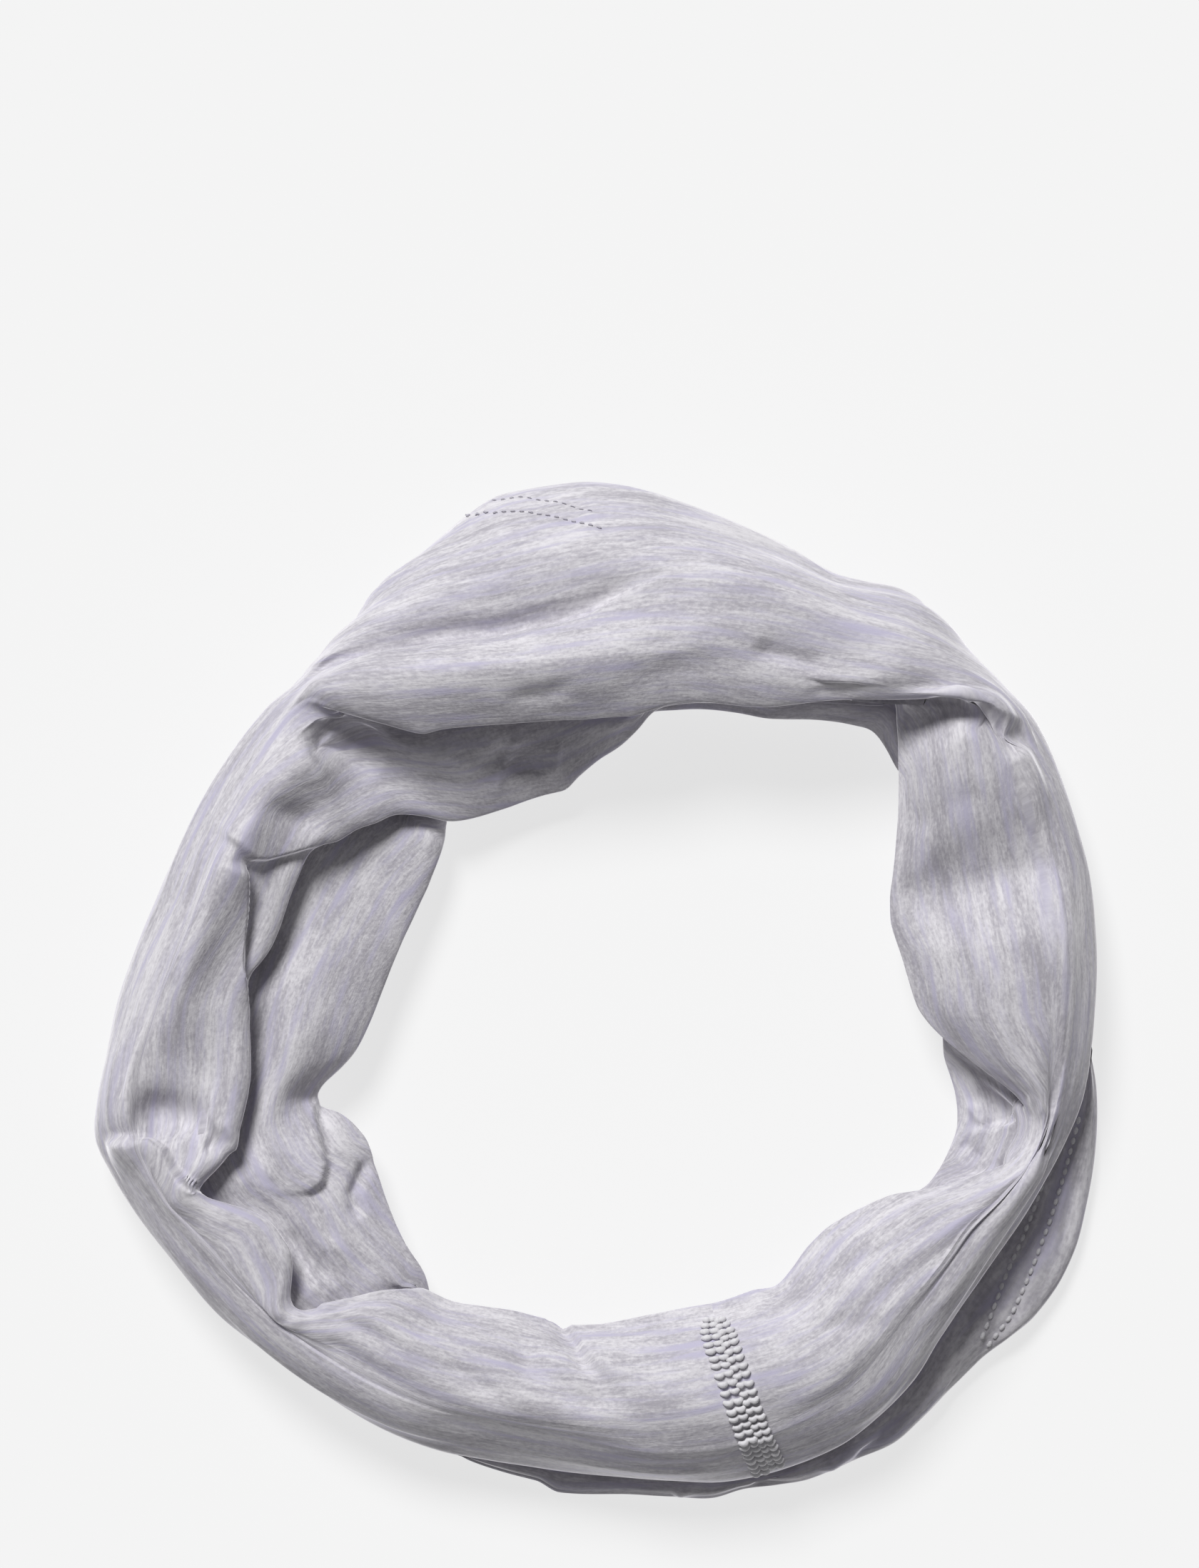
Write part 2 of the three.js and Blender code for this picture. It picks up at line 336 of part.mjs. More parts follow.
// the rows moved across the cloth; in a bend tighter than that they are set in order again, so that
// the wall's two faces never cross
function offset(rows, by) {
  const back = moved(rows, by);
  for (let pass = 0; pass < 12; pass += 1) {
    for (let i = 0; i + 1 < back.length; i += 1) {
      const a = back[i], b = back[i + 1];
      const dr = rows[i + 1].r - rows[i].r, dz = rows[i + 1].z - rows[i].z, d = Math.hypot(dr, dz);
      const lack = Math.min(0.12, d / 2) - ((b.r - a.r) * dr + (b.z - a.z) * dz) / d;
      if (lack <= 0) continue;
      a.r -= (dr / d) * lack * 0.5;
      a.z -= (dz / d) * lack * 0.5;
      b.r += (dr / d) * lack * 0.5;
      b.z += (dz / d) * lack * 0.5;
    }
  }
  return back;
}

const place = (deg, p) => {
  const a = THREE.MathUtils.degToRad(deg);
  return [MIDDLE[0] + p.r * Math.cos(a), MIDDLE[1] + p.r * Math.sin(a), Math.max(0, p.z)];
};

// ---- solids ----
const HEATHER = new THREE.Color(0.80, 0.79, 0.82);
function material(tone) {
  return new THREE.MeshStandardMaterial({
    color: HEATHER.clone().multiplyScalar(tone), roughness: 0.9, metalness: 0,
  });
}

function solid(name, corners, triangles, tone) {
  const shape = new THREE.BufferGeometry();
  shape.setAttribute('position', new THREE.Float32BufferAttribute(corners.flat(), 3));
  shape.setIndex(triangles.flat());
  shape.computeVertexNormals();
  const mesh = new THREE.Mesh(shape, material(tone));
  mesh.name = name;
  return mesh;
}

// closed rings of points, one to each section, joined into a body; open ended ones get end caps
function loft(name, rings, closed, tone) {
  const n = rings.length, m = rings[0].length, triangles = [];
  const id = (i, j) => (i % n) * m + (j % m);
  for (let i = 0; i < (closed ? n : n - 1); i += 1) {
    for (let j = 0; j < m; j += 1) {
      triangles.push([id(i, j), id(i + 1, j + 1), id(i, j + 1)],
        [id(i, j), id(i + 1, j), id(i + 1, j + 1)]);
    }
  }
  if (!closed) {
    for (let j = 0; j + 1 < m / 2; j += 1) {   // the cap is a strip across the wall
      const a = j, b = j + 1, c = m - 2 - j, d = m - 1 - j, e = (n - 1) * m;
      triangles.push([a, b, c], [a, c, d], [e + a, e + c, e + b], [e + a, e + d, e + c]);
    }
  }
  return solid(name, rings.flat(), triangles, tone);
}

// the cuts from one turn to another, drawn in a little at both ends to leave GAP
function cutsBetween(from, to) {
  const edge = THREE.MathUtils.radToDeg(GAP / 2 / 75), list = [from + edge];
  for (let turn = 0; turn <= 360; turn += 360) {
    CUTS.forEach(c => { if (c + turn > from + 1 && c + turn < to - 1) list.push(c + turn); });
  }
  return [...list, to - edge];
}

// a thin wall of cloth between two named points of the section, over a range of turns; grown, it is
// that much thicker all round
function wall(name, { turns, from, to, rows, tone = 1, trim = [0, 0] }, grow = 0) {
  const cuts = cutsBetween(...turns), last = cuts[cuts.length - 1];
  const over = THREE.MathUtils.radToDeg(grow / 75), round = cuts.map(deg => [deg, deg]);
  if (grow > 0) round.splice(0, round.length, [cuts[0], cuts[0] - over], ...round, [last, last + over]);
  const rings = round.map(([deg, seat]) => {
    const face = stretch(deg, from, to, rows, trim);
    [[face[0], -grow], [face[rows - 1], grow]].forEach(([end, by]) => {
      end.r += end.inZ * by;
      end.z -= end.inR * by;
    });
    return [...offset(face, -grow), ...offset(face, WALL + grow).reverse()].map(p => place(seat, p));
  });
  return loft(name, rings, false, tone);
}

// a strip lying on a wall: the wall's own rows, moved out
function strip(name, { on, turns, first, last, tone = 1 }) {
  const rings = CUTS.filter(c => c >= turns[0] && c <= turns[1]).map(deg => {
    const face = stretch(deg, on.from, on.to, on.rows, on.trim).slice(first, last + 1);
    return [...moved(face, -GAP - SEAM_RISE), ...moved(face, -GAP).reverse()]
      .map(p => place(deg, p));
  });
  return loft(name, rings, false, tone);
}

// the low hem: a flat double band lying on the table, its inner edge under the outer roll
function hemBand(name, turns) {
  const rings = cutsBetween(...turns).map(deg => {
    const [out, up] = HEM(deg), inn = RIM(deg)[0] - HEM_TUCK, mid = (out + inn) / 2;
    return [
      { r: out - 0.5, z: 0 }, { r: out, z: up * 0.5 }, { r: out - 0.5, z: up },
      { r: mid, z: up }, { r: inn, z: HEM_RISE },
      { r: inn, z: 0 }, { r: mid, z: 0 }, { r: out - 0.9, z: 0 },
    ].map(p => place(deg, p));
  });
  return loft(name, rings, false, 0.96);
}

// ---- which layers there are at a turn ----
const FLAP = [38, 135];                                   // the front roll lies over the middle layer
const LOW = [[41, 82], [136, 235.5], [329.5, 352]];           // the low layer shows inside the middle one
const BURIED = [48.5, 85.5];                              // the middle layer is all under the roll
const inside = (deg, [from, to]) => deg >= from && deg <= to;

// the undersides of the walls over one section, as plain rows
function undersides(deg) {
  const under = (from, to) => moved(stretch(deg, from, to, 60), WALL);
  const rows = [under('rim', inside(deg, FLAP) ? 'front.hook' : 'edge.hook')];
  if (inside(deg, FLAP) && !inside(deg, BURIED)) rows.push(under('front.lip', 'edge.hook'));
  if (LOW.some(range => inside(deg, range))) rows.push(under('edge.lip', 'hole.hook'));
  return rows;
}

// the hidden folds: one rounded body under the walls, stepped where the layers are, flat below
function hiddenFolds(name) {
  const rings = CUTS.map(deg => {
    const rows = undersides(deg), front = FRONT(deg)[0], edge = MIDDLE_EDGE(deg)[0];
    const rim = RIM(deg)[0], heart = Math.min(edge, OPENING(deg)[0]) + HOOK + 1.3;
    const ceiling = (near, far) => Math.min(...rows.flat()
      .filter(p => p.r <= near && p.r >= far).map(p => p.z), 40);
    const shut = ease((FRONT(deg)[2] + 1) / 6), step = LIP + 1.3;
    const marks = [rim - WALL - 1.4, CREST(deg)[0] - 1, VALE(deg)[0], BROW(deg)[0],
      front + step * shut, front + mix(-2, step - 0.5, shut),
      SHOULDER(deg)[0], SLOPE(deg)[0], edge + step, edge + step - 0.5, INNER(deg)[0], heart];
    const last = marks.length - 1;
    for (let i = 1; i <= last; i += 1) marks[i] = Math.min(marks[i], marks[i - 1] - 0.3);
    for (let i = last; i >= 0; i -= 1) marks[i] = Math.max(marks[i], heart + 0.3 * (last - i));
    const roof = marks.map((r, i) => {
      const shift = i === 5 ? -1.2 * shut : i === 9 ? -1.2 : 0;
      return { r, z: ceiling(r + 0.7 + shift, r - 0.7 + shift) - CLEAR };
    });
    for (let pass = 0; pass < 3; pass += 1) {
      rows.flat().forEach(p => {
        for (let i = 0; i < last; i += 1) {
          const a = roof[i], b = roof[i + 1];
          if (p.r > a.r + 0.3 || p.r < b.r - 0.3) continue;
          const u = Math.min(1, Math.max(0, (a.r - p.r) / (a.r - b.r)));
          const over = mix(a.z, b.z, u) + CLEAR - p.z;
          if (over > 0) {
            if (u < 0.95) a.z -= over * 0.7;
            if (u > 0.05) b.z -= over * 0.7;
          }
        }
      });
    }
    roof.forEach(p => { p.z = Math.max(p.z, 1); });
    return [{ r: rim - FOOT_IN - WALL - CLEAR - 0.4, z: 0 }, ...roof, { r: heart, z: 0 }]
      .map(p => place(deg, p));
  });
  return loft(name, rings, true, 0.9);
}

// ---- a body with other bodies cut out of it; crumbs that come loose are left out ----
const wasm = await Module();
wasm.setup();
function manifoldOf(mesh) {
  const shape = mesh.geometry.clone();
  shape.deleteAttribute('normal');
  const merged = mergeVertices(shape, 1e-3);
  return new wasm.Manifold(new wasm.Mesh({
    numProp: 3, vertProperties: merged.attributes.position.array,
    triVerts: new Uint32Array(merged.index.array),
  }));
}
function cutOut(body, others) {
  const left = others.reduce((rest, other) => rest.subtract(manifoldOf(other)), manifoldOf(body));
  const [main] = left.simplify(0.22).decompose().sort((a, b) => b.volume() - a.volume());
  const { vertProperties: v, triVerts: t, numProp: n } = main.getMesh();
  const corners = Array.from({ length: v.length / n }, (_, i) => [...v.slice(i * n, i * n + 3)]);
  const triangles = Array.from({ length: t.length / 3 }, (_, i) => [...t.slice(i * 3, i * 3 + 3)]);
  return solid(body.name, corners, triangles, 0.9);
}

// ---- the neck tube ----
const tube = new THREE.Group();
tube.name = 'neck_tube';
const full = { from: 'foot', to: 'edge.hook', rows: 15 };
const low = { from: 'edge.lip', to: 'hole.hook' };
const stretches = {
  upper_outer_stretch: {
    turns: FLAP, from: 'foot', to: 'vale', rows: 10, tone: 1.04, trim: [0, 0.4],
  },
  front_roll_stretch: {
    turns: FLAP, from: 'vale', to: 'front.hook', rows: 11, tone: 1.03, trim: [0.4, 0],
  },
  right_upper_stretch: { turns: [38, 47], from: 'front.lip', to: 'edge.hook', rows: 10, tone: 0.95 },
  inner_top_stretch: { turns: [86, 135], from: 'front.lip', to: 'edge.hook', rows: 10, tone: 0.86 },
  upper_left_stretch: { ...full, turns: [135, 157], tone: 0.98 },
  left_stretch: { ...full, turns: [157, 203.5] },
  lower_left_stretch: { ...full, turns: [203.5, 223], tone: 1.02 },
  bottom_stretch: { ...full, turns: [223, 344], tone: 1.01 },
  right_stretch: { ...full, turns: [344, 398] },
  left_inner_stretch: { ...low, turns: [136, 198], rows: 9, tone: 0.96 },
  lower_left_inner_stretch: { ...low, turns: [198, 235.5], rows: 8, tone: 0.98 },
  right_inner_stretch: { ...low, turns: [329.5, 352], rows: 7, tone: 0.94 },
  top_inner_stretch: { ...low, turns: [41, 82], rows: 7, tone: 0.94 },
};
const walls = Object.entries(stretches);
tube.add(
  cutOut(hiddenFolds('hidden_folds'), walls.map(([name, how]) => wall(name, how, GAP + 0.12))),
  ...walls.map(([name, how]) => wall(name, how)),
  hemBand('outer_hem_stretch', [247, 360]),
  strip('flatlock_seam', {
    on: stretches.bottom_stretch, turns: [284, 290], first: 2, last: 11, tone: 1.05,
  }),
);

export default tube;
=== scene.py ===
"""A neck tube of thin heathered wool jersey, scrunched down into a soft ring on a table.

The tube is one panel, joined by one flatlock seam and hemmed with two rows of stitches at each end.
It lies so that its cloth runs up from the table over an outer roll, down in folded layers to the neck
opening, and back out underneath. The shapes are worked out in millimetres and stored in metres.
"""
import math

import bpy
import numpy as np
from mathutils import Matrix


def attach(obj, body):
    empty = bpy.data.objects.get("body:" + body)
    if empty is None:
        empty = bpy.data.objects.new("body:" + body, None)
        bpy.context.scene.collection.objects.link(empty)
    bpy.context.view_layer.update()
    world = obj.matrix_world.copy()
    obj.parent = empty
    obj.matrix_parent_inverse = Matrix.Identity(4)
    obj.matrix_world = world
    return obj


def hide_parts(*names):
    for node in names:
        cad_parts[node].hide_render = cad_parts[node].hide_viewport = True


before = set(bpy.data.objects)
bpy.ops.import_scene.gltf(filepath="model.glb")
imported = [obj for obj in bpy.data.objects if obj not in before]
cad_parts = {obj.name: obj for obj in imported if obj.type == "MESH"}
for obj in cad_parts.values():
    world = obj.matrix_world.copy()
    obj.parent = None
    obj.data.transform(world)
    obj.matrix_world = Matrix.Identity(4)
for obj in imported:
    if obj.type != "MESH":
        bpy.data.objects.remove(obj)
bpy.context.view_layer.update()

# ---------------------------------------------------------------------------------------------------
# The tube's cloth: one panel of thin heathered wool jersey, about 500 mm round, whose two short edges
# are joined by a seam. It has been scrunched down by hand, and lies in a ring of soft folded layers.
# ---------------------------------------------------------------------------------------------------
MM = 0.001
MIDDLE = np.array([3.92, -2.745])     # the ring's middle
SEAM_TURN = 287.0                     # the turn at which the panel's two short edges meet
ROUND = 500.0                         # the panel's width, all round the tube
CLOTH = 0.9                           # the jersey's thickness
FOLD = 1.7                            # radius of a turned fold
HOOK = 4.2                            # how far a folded edge is turned back under
LIP = 4.7                             # how far the next layer runs on beneath an edge
FOOT_IN = 6.5                         # the outer roll's foot, inside its outermost line
INSIDE = 4.2                          # how far the folds inside the outer roll stay within its top
LEAST_SPAN = 2.5                      # with less room than this, the middle layer runs straight

# A section through the ring is a line of named points, and each point's place changes slowly round
# the ring, as a short table gives it:
# [turn in degrees from +X, distance out from the ring's middle, height over the table].
RIM = [                   # the outer roll's outermost line
    [0, 92.4, 10], [6, 93.6, 9.6], [12, 94.4, 9], [20, 95, 9], [26, 96, 9], [31, 97.1, 10],
    [35, 97.6, 10], [40, 96.8, 10], [45, 96.6, 10], [50, 97.5, 10], [53, 98.2, 9], [56, 97.2, 9],
    [60, 94.4, 9], [64, 92.8, 9], [70, 93.7, 8], [76, 95.3, 7], [83, 97.5, 6], [90, 100.7, 5.5],
    [95, 102.1, 5.5], [103, 102.3, 5.5], [106, 100.4, 6], [110, 97, 7], [115, 94.8, 8], [120, 92.8, 9],
    [127, 90.3, 10], [134, 88.7, 11], [140, 89.6, 11], [150, 90.1, 11], [160, 90.7, 11],
    [166, 91.6, 10], [172, 93.6, 10], [180, 97.3, 9], [186, 100.1, 9], [190, 102.7, 9],
    [194.5, 105, 10.4], [198, 103.8, 11.6], [203, 101.8, 12.8], [210, 99.1, 13.6], [218, 97.4, 13.6],
    [224, 95.4, 13.4], [232, 94.1, 12.8], [240, 93.7, 12], [248, 92.7, 10.8], [254, 91.4, 9.8],
    [260, 90.8, 9], [268, 91.1, 8], [276, 92.5, 8], [283, 94.5, 8], [289, 95, 9], [296, 94.8, 11.6],
    [302, 93.4, 13.2], [308, 91.6, 14.6], [314, 88.8, 15.2], [320, 87.4, 15.2], [326, 87, 15.2],
    [334, 87.5, 14.8], [342, 88.7, 13], [350, 90.6, 12], [356, 91.6, 11],
]
CREST = [                 # above it, where the outer side turns toward the top
    [0, 90.8, 16.2], [20, 93.2, 15], [30, 94.8, 16], [38, 94.9, 18], [45, 92.4, 23], [52, 90, 26],
    [60, 86.6, 27.5], [75, 86, 28], [84, 86.5, 26], [90, 87, 24.6], [98, 87, 24], [106, 86.5, 23.6],
    [113, 87, 22.4], [120, 87.4, 21], [127, 87.6, 19.2], [131, 88, 18.5], [134, 87.6, 17.5],
    [140, 88, 16], [165, 89.6, 15], [180, 95.4, 14.6], [194.5, 102.6, 15.6], [203, 100.6, 16.2],
    [218, 96.4, 16.8], [240, 92.7, 16], [260, 89, 15], [285, 92.8, 15], [300, 93.1, 17.2],
    [314, 88, 18.4], [326, 86.2, 18.4], [342, 88.1, 16.8],
]
VALE = [                  # between there and the top
    [0, 89, 18.6], [20, 91.6, 17.5], [30, 93.4, 18.5], [38, 93.9, 20], [45, 89.4, 25.5],
    [52, 85.5, 28.5], [60, 81, 29.5], [75, 79.5, 29.5], [84, 78.5, 28], [90, 77.4, 26.8],
    [98, 76, 25.8], [106, 75.6, 24.8], [113, 77.4, 23.8], [120, 80, 22.2], [127, 84.9, 19.8],
    [131, 86.6, 18], [134, 86.8, 19], [140, 86.6, 18.5], [165, 88, 17.5], [180, 93.8, 18],
    [194.5, 101, 18.8], [203, 98.8, 18.4], [218, 94.8, 19], [240, 91, 18.4], [260, 87.4, 17.5],
    [285, 91, 17.5], [300, 91.4, 19.2], [314, 86.2, 20], [326, 84.4, 20.2], [342, 87.1, 18.1],
]
BROW = [                  # the outer roll's top
    [0, 87.2, 21.6], [8, 88.2, 22], [13, 89, 20.4], [18, 89.8, 18.4], [22, 90.4, 18.6],
    [30, 92.6, 21.8], [38, 93, 23.8], [45, 86.5, 26], [52, 80, 29.5], [60, 74.5, 30], [75, 70, 31.5],
    [84, 68.5, 32], [90, 67.5, 32.5], [98, 67, 33], [106, 68, 33.5], [113, 70.5, 33], [120, 74, 32],
    [127, 79, 30.5], [131, 83, 28.5], [134, 85.4, 25.5], [140, 85.2, 21], [165, 86.4, 21.6],
    [180, 92, 20.6], [188, 96, 20], [194.5, 99.4, 21.2], [203, 96.6, 20.4], [218, 92.4, 21],
    [240, 88.6, 20.6], [260, 85.6, 20], [285, 89.2, 20], [300, 89.2, 20.8], [314, 84, 21.4],
    [326, 82.4, 21.6], [334, 84.6, 20.4], [339, 85.9, 19.4], [342, 86.2, 19.2],
]
SHOULDER = [              # the middle layer's high part
    [0, 79, 24], [4, 79, 24.4], [9, 79, 24], [14, 79.3, 21.2], [18, 79.6, 19.2], [22, 80.2, 20],
    [27, 81.4, 22.8], [33, 84, 25.2], [38, 86, 25.6], [43, 84, 17.7], [46, 82, 17], [60, 67, 15.5],
    [75, 60, 15], [84, 57.2, 14.8], [90, 55, 14.6], [95, 54.3, 14.2], [100, 53.8, 14.2],
    [105, 54, 14.2], [112, 55.5, 14.3], [120, 58, 15.3], [126, 61, 17.2], [130, 66, 18.4],
    [133, 73, 18.8], [137, 78, 23.2], [143, 79, 27.4], [150, 80, 29], [160, 82, 29.8], [170, 84, 28.4],
    [180, 87, 25.2], [188, 90.6, 21.8], [193, 93, 20.8], [197, 94, 23.2], [203, 93.6, 23.6],
    [212, 89, 24.2], [222, 90, 24], [228, 86, 24.4], [240, 82, 24.6], [255, 80, 25.6], [270, 79, 26],
    [285, 80.5, 25.4], [300, 81, 24.6], [315, 78, 24.6], [326, 78, 24.4], [334, 81.5, 22.4],
    [339, 84.4, 18.8], [343, 84.9, 17.6], [346, 84, 20.2], [352, 80.5, 22.6],
]
SLOPE = [                 # the middle layer, on its way in
    [0, 67, 22], [4, 66.6, 22.2], [9, 66.2, 21.8], [14, 66, 19], [18, 66.4, 17.2], [22, 67.2, 17.6],
    [27, 68.8, 20.2], [33, 72, 22.4], [38, 75.5, 22.2], [43, 79, 16.4], [46, 80, 15.6], [60, 66, 14],
    [75, 61, 13.6], [84, 57.5, 13.4], [90, 54, 13.8], [95, 52.3, 12.6], [100, 50.5, 12],
    [105, 49.5, 11.8], [112, 50, 12], [120, 51.5, 12.8], [126, 54, 13.6], [130, 57.5, 14.6],
    [133, 60.5, 15], [137, 64.5, 17.2], [144, 68, 21.4], [150, 71, 24], [158, 72.4, 23.4],
    [165, 72.8, 22.8], [180, 78, 23.6], [190, 80, 21.4], [195, 83, 22.4], [200, 87, 24.5],
    [203.5, 91.8, 24], [207, 88, 24], [212, 83.5, 24], [218, 84.5, 23.5], [222.5, 88.4, 24.5],
    [227, 81.5, 24], [232, 75, 24.4], [240, 73, 23.4], [255, 70, 22.6], [270, 69, 23], [285, 69, 23],
    [300, 70.5, 22.2], [315, 68, 22], [326, 71, 21.4], [332, 76.5, 21.5], [337, 82, 19],
    [341, 84.2, 16.9], [344.5, 83.9, 16.9], [348, 79, 19.8], [353, 72, 20.6],
]
INNER = [                 # the low layer, between the middle layer's edge and the opening
    [0, 68, 9], [30, 72, 9], [42, 76, 10], [50, 77, 10], [58, 71, 10], [66, 66, 10], [82, 62, 9],
    [100, 58, 8], [125, 59, 8], [133, 60, 10.4], [140, 54, 11.6], [150, 55, 12.8], [165, 57, 14.8],
    [180, 61, 17], [190, 65, 18], [195, 69, 17.5], [200, 71.5, 17], [206, 71, 17.5], [212, 68, 16],
    [222, 69, 15], [230, 68.5, 14], [242, 76, 9], [270, 72, 8], [320, 74, 8], [326, 76, 7.4],
    [330, 76, 7.8], [336, 77, 8.6], [342, 78, 9], [349, 73, 9], [356, 69, 8.6],
]
# The folded edges have two more columns: how far the cloth is folded back under the edge (under zero
# the fold opens out and is gone), and how far the next layer lies below it.
FRONT = [                 # the front roll's edge, over the middle layer
    [0, 85.6, 23, -4, 3], [8, 86.6, 23.5, -4, 3], [13, 87.3, 21.8, -4, 3], [18, 88.2, 19.3, -4, 3],
    [22, 89, 19.6, -4, 3], [27, 90.2, 22.2, -4, 3], [31, 91.2, 23.4, -3, 3], [35, 91.6, 24.6, -2, 3],
    [38, 91.2, 25, -1, 4], [40, 89.7, 25.2, 0, 6], [42.5, 87, 25.6, 4, 6.5], [45, 83.4, 26, 7, 8],
    [48, 79.1, 26, 8, 9], [52, 74.6, 26, 8, 10], [56, 70.6, 26, 8, 10.5], [60, 66.9, 26, 8, 11],
    [64, 63.9, 26, 8, 11], [68, 62.2, 26, 8, 11], [75, 60.3, 26, 8, 11], [80, 58.8, 26, 8, 11],
    [84, 56.8, 26, 8, 11], [88, 55.4, 26, 8, 11], [95, 55.2, 26, 8, 11.5], [105, 56.6, 26.5, 8, 12],
    [112, 58.4, 27, 8, 12.5], [118, 60.7, 27, 8, 12], [123, 63, 27, 8, 11], [126, 64.2, 27, 8, 9.5],
    [128, 66.6, 27, 8, 9], [130, 70, 27, 7, 8], [132, 74, 26.6, 5, 6.6], [133.4, 78, 26, 2, 5],
    [134.3, 81.4, 25.5, 0, 4], [135.2, 83.6, 24.5, -1, 3], [137, 84.6, 23, -3, 3],
    [142, 84.2, 22, -4, 3], [165, 84.9, 23, -4, 3], [180, 90.4, 22, -4, 3], [194.5, 97.8, 22.2, -4, 3],
    [203, 95.4, 21.8, -2, 3], [218, 90.8, 22, -3, 3], [240, 86.6, 22, -4, 3], [260, 84, 22, -4, 3],
    [285, 87.6, 22, -4, 3], [300, 87, 22, -4, 3], [314, 82, 22.4, -4, 3], [326, 80.6, 22.4, -4, 3],
    [334, 83, 21.2, -3, 3], [339, 84.9, 18.9, -2, 3], [342, 85.6, 18.2, -2, 3],
]
MIDDLE_EDGE = [           # the middle layer's edge, over the low layer or over the opening
    [0, 57.4, 13, 8, 6], [5, 56.2, 13, 8, 6], [10, 55.6, 13, 8, 6], [16, 55.1, 13, 8, 6],
    [21, 56.2, 13, 8, 6], [26, 58.8, 14, 8, 6], [31, 62.2, 14, 8, 6], [36, 66.3, 14, 8, 6],
    [40, 70.1, 14, 8, 6], [43, 73.6, 14, 8, 6], [45.5, 76.5, 14, 8, 6], [48, 79.3, 13.5, 7, 6],
    [50, 77, 13, 7, 6], [53, 74, 13, 7, 6], [58, 69.1, 13, 7, 6], [64, 64.2, 13, 7, 6],
    [71, 61.7, 13, 7, 6], [78, 59.7, 12.5, 7, 6], [82, 58.3, 12, 7, 6], [84, 56.8, 12, 7, 6],
    [86, 54, 11.5, 8, 6], [90, 50.3, 9.8, 8, 5], [95, 47.8, 8.8, 8, 5], [100, 45.2, 8.2, 8, 5],
    [105, 43, 8, 8, 5], [110, 43.2, 8, 8, 5], [118, 43.7, 8, 8, 5], [125, 45, 8.6, 8, 5],
    [130, 46.8, 9.6, 8, 5], [133, 48.8, 10.6, 8, 5], [136, 52.8, 12.6, 8, 5], [140, 57.3, 15.4, 8, 5.5],
    [143, 58.8, 17, 8, 6], [146, 61, 18.6, 8, 6], [150, 63.1, 20, 8, 6], [152, 65.6, 20.5, 8, 6],
    [155, 66.4, 20, 8, 6], [160, 66.8, 20, 8, 6], [166, 67.1, 20, 8, 6], [170, 68, 20, 8, 6],
    [173, 69.6, 20.5, 8, 6], [176, 71.5, 21, 8, 6], [180, 71.8, 21, 8, 6], [185, 71.9, 21, 8, 6],
    [190, 72.6, 21, 8, 6], [193, 73.8, 21, 8, 6], [196, 75.7, 21, 8, 6], [199, 78.2, 21, 8, 6],
    [201, 80.6, 21.5, 7, 6], [202.4, 84.8, 21.5, 6, 5.5], [203.6, 88.6, 21.5, 4, 5.5],
    [205, 87.6, 22, 5, 5.5], [206.5, 85.2, 22, 6, 6], [208.5, 82.2, 22, 7, 6], [210.5, 80, 22, 8, 6],
    [213, 79, 22, 8, 6], [216, 79, 22, 8, 6], [218, 80.4, 22, 7, 6], [220, 83, 22, 6, 6],
    [221.5, 85.2, 22, 4, 5.5], [223, 85.8, 22, 3, 5.5], [224.5, 83.6, 22, 5, 5.5],
    [226, 79.8, 21.5, 7, 6], [228, 75.2, 21, 8, 6], [230, 71.6, 20, 8, 6], [233, 68.4, 18, 8, 6],
    [236, 66.6, 16, 8, 6], [240, 66, 14.5, 8, 6], [246, 63.9, 14, 8, 6], [252, 62.4, 13.5, 8, 6],
    [258, 62.2, 13, 8, 6], [261, 63.4, 13, 8, 6], [265, 62.3, 13, 8, 6], [270, 60.8, 13, 8, 6],
    [276, 59.9, 13, 8, 6], [281, 59.7, 13, 8, 6], [290, 60.4, 13, 8, 6], [295, 60.7, 13, 8, 6],
    [299, 62, 13, 8, 6], [303, 60.8, 13, 8, 6], [308, 59.1, 13, 8, 6], [312, 58.8, 13, 8, 6],
    [317, 60, 13, 8, 6], [321, 61.8, 13.5, 8, 6], [325, 64.4, 14, 8, 6], [328, 68, 15, 8, 6],
    [332, 73, 16.5, 7, 7], [336, 78, 17, 5, 6.5], [339, 81.8, 16, 1, 4.5], [342, 83.4, 15.6, -2, 4],
    [344.5, 82.9, 15.6, -2, 4], [346, 80.6, 15.6, 1, 5], [348, 76, 16, 5, 5.5], [350, 71, 16, 8, 6],
    [352, 66.7, 15, 8, 6], [354, 63, 14, 8, 6], [357, 59.4, 13.5, 8, 6],
]
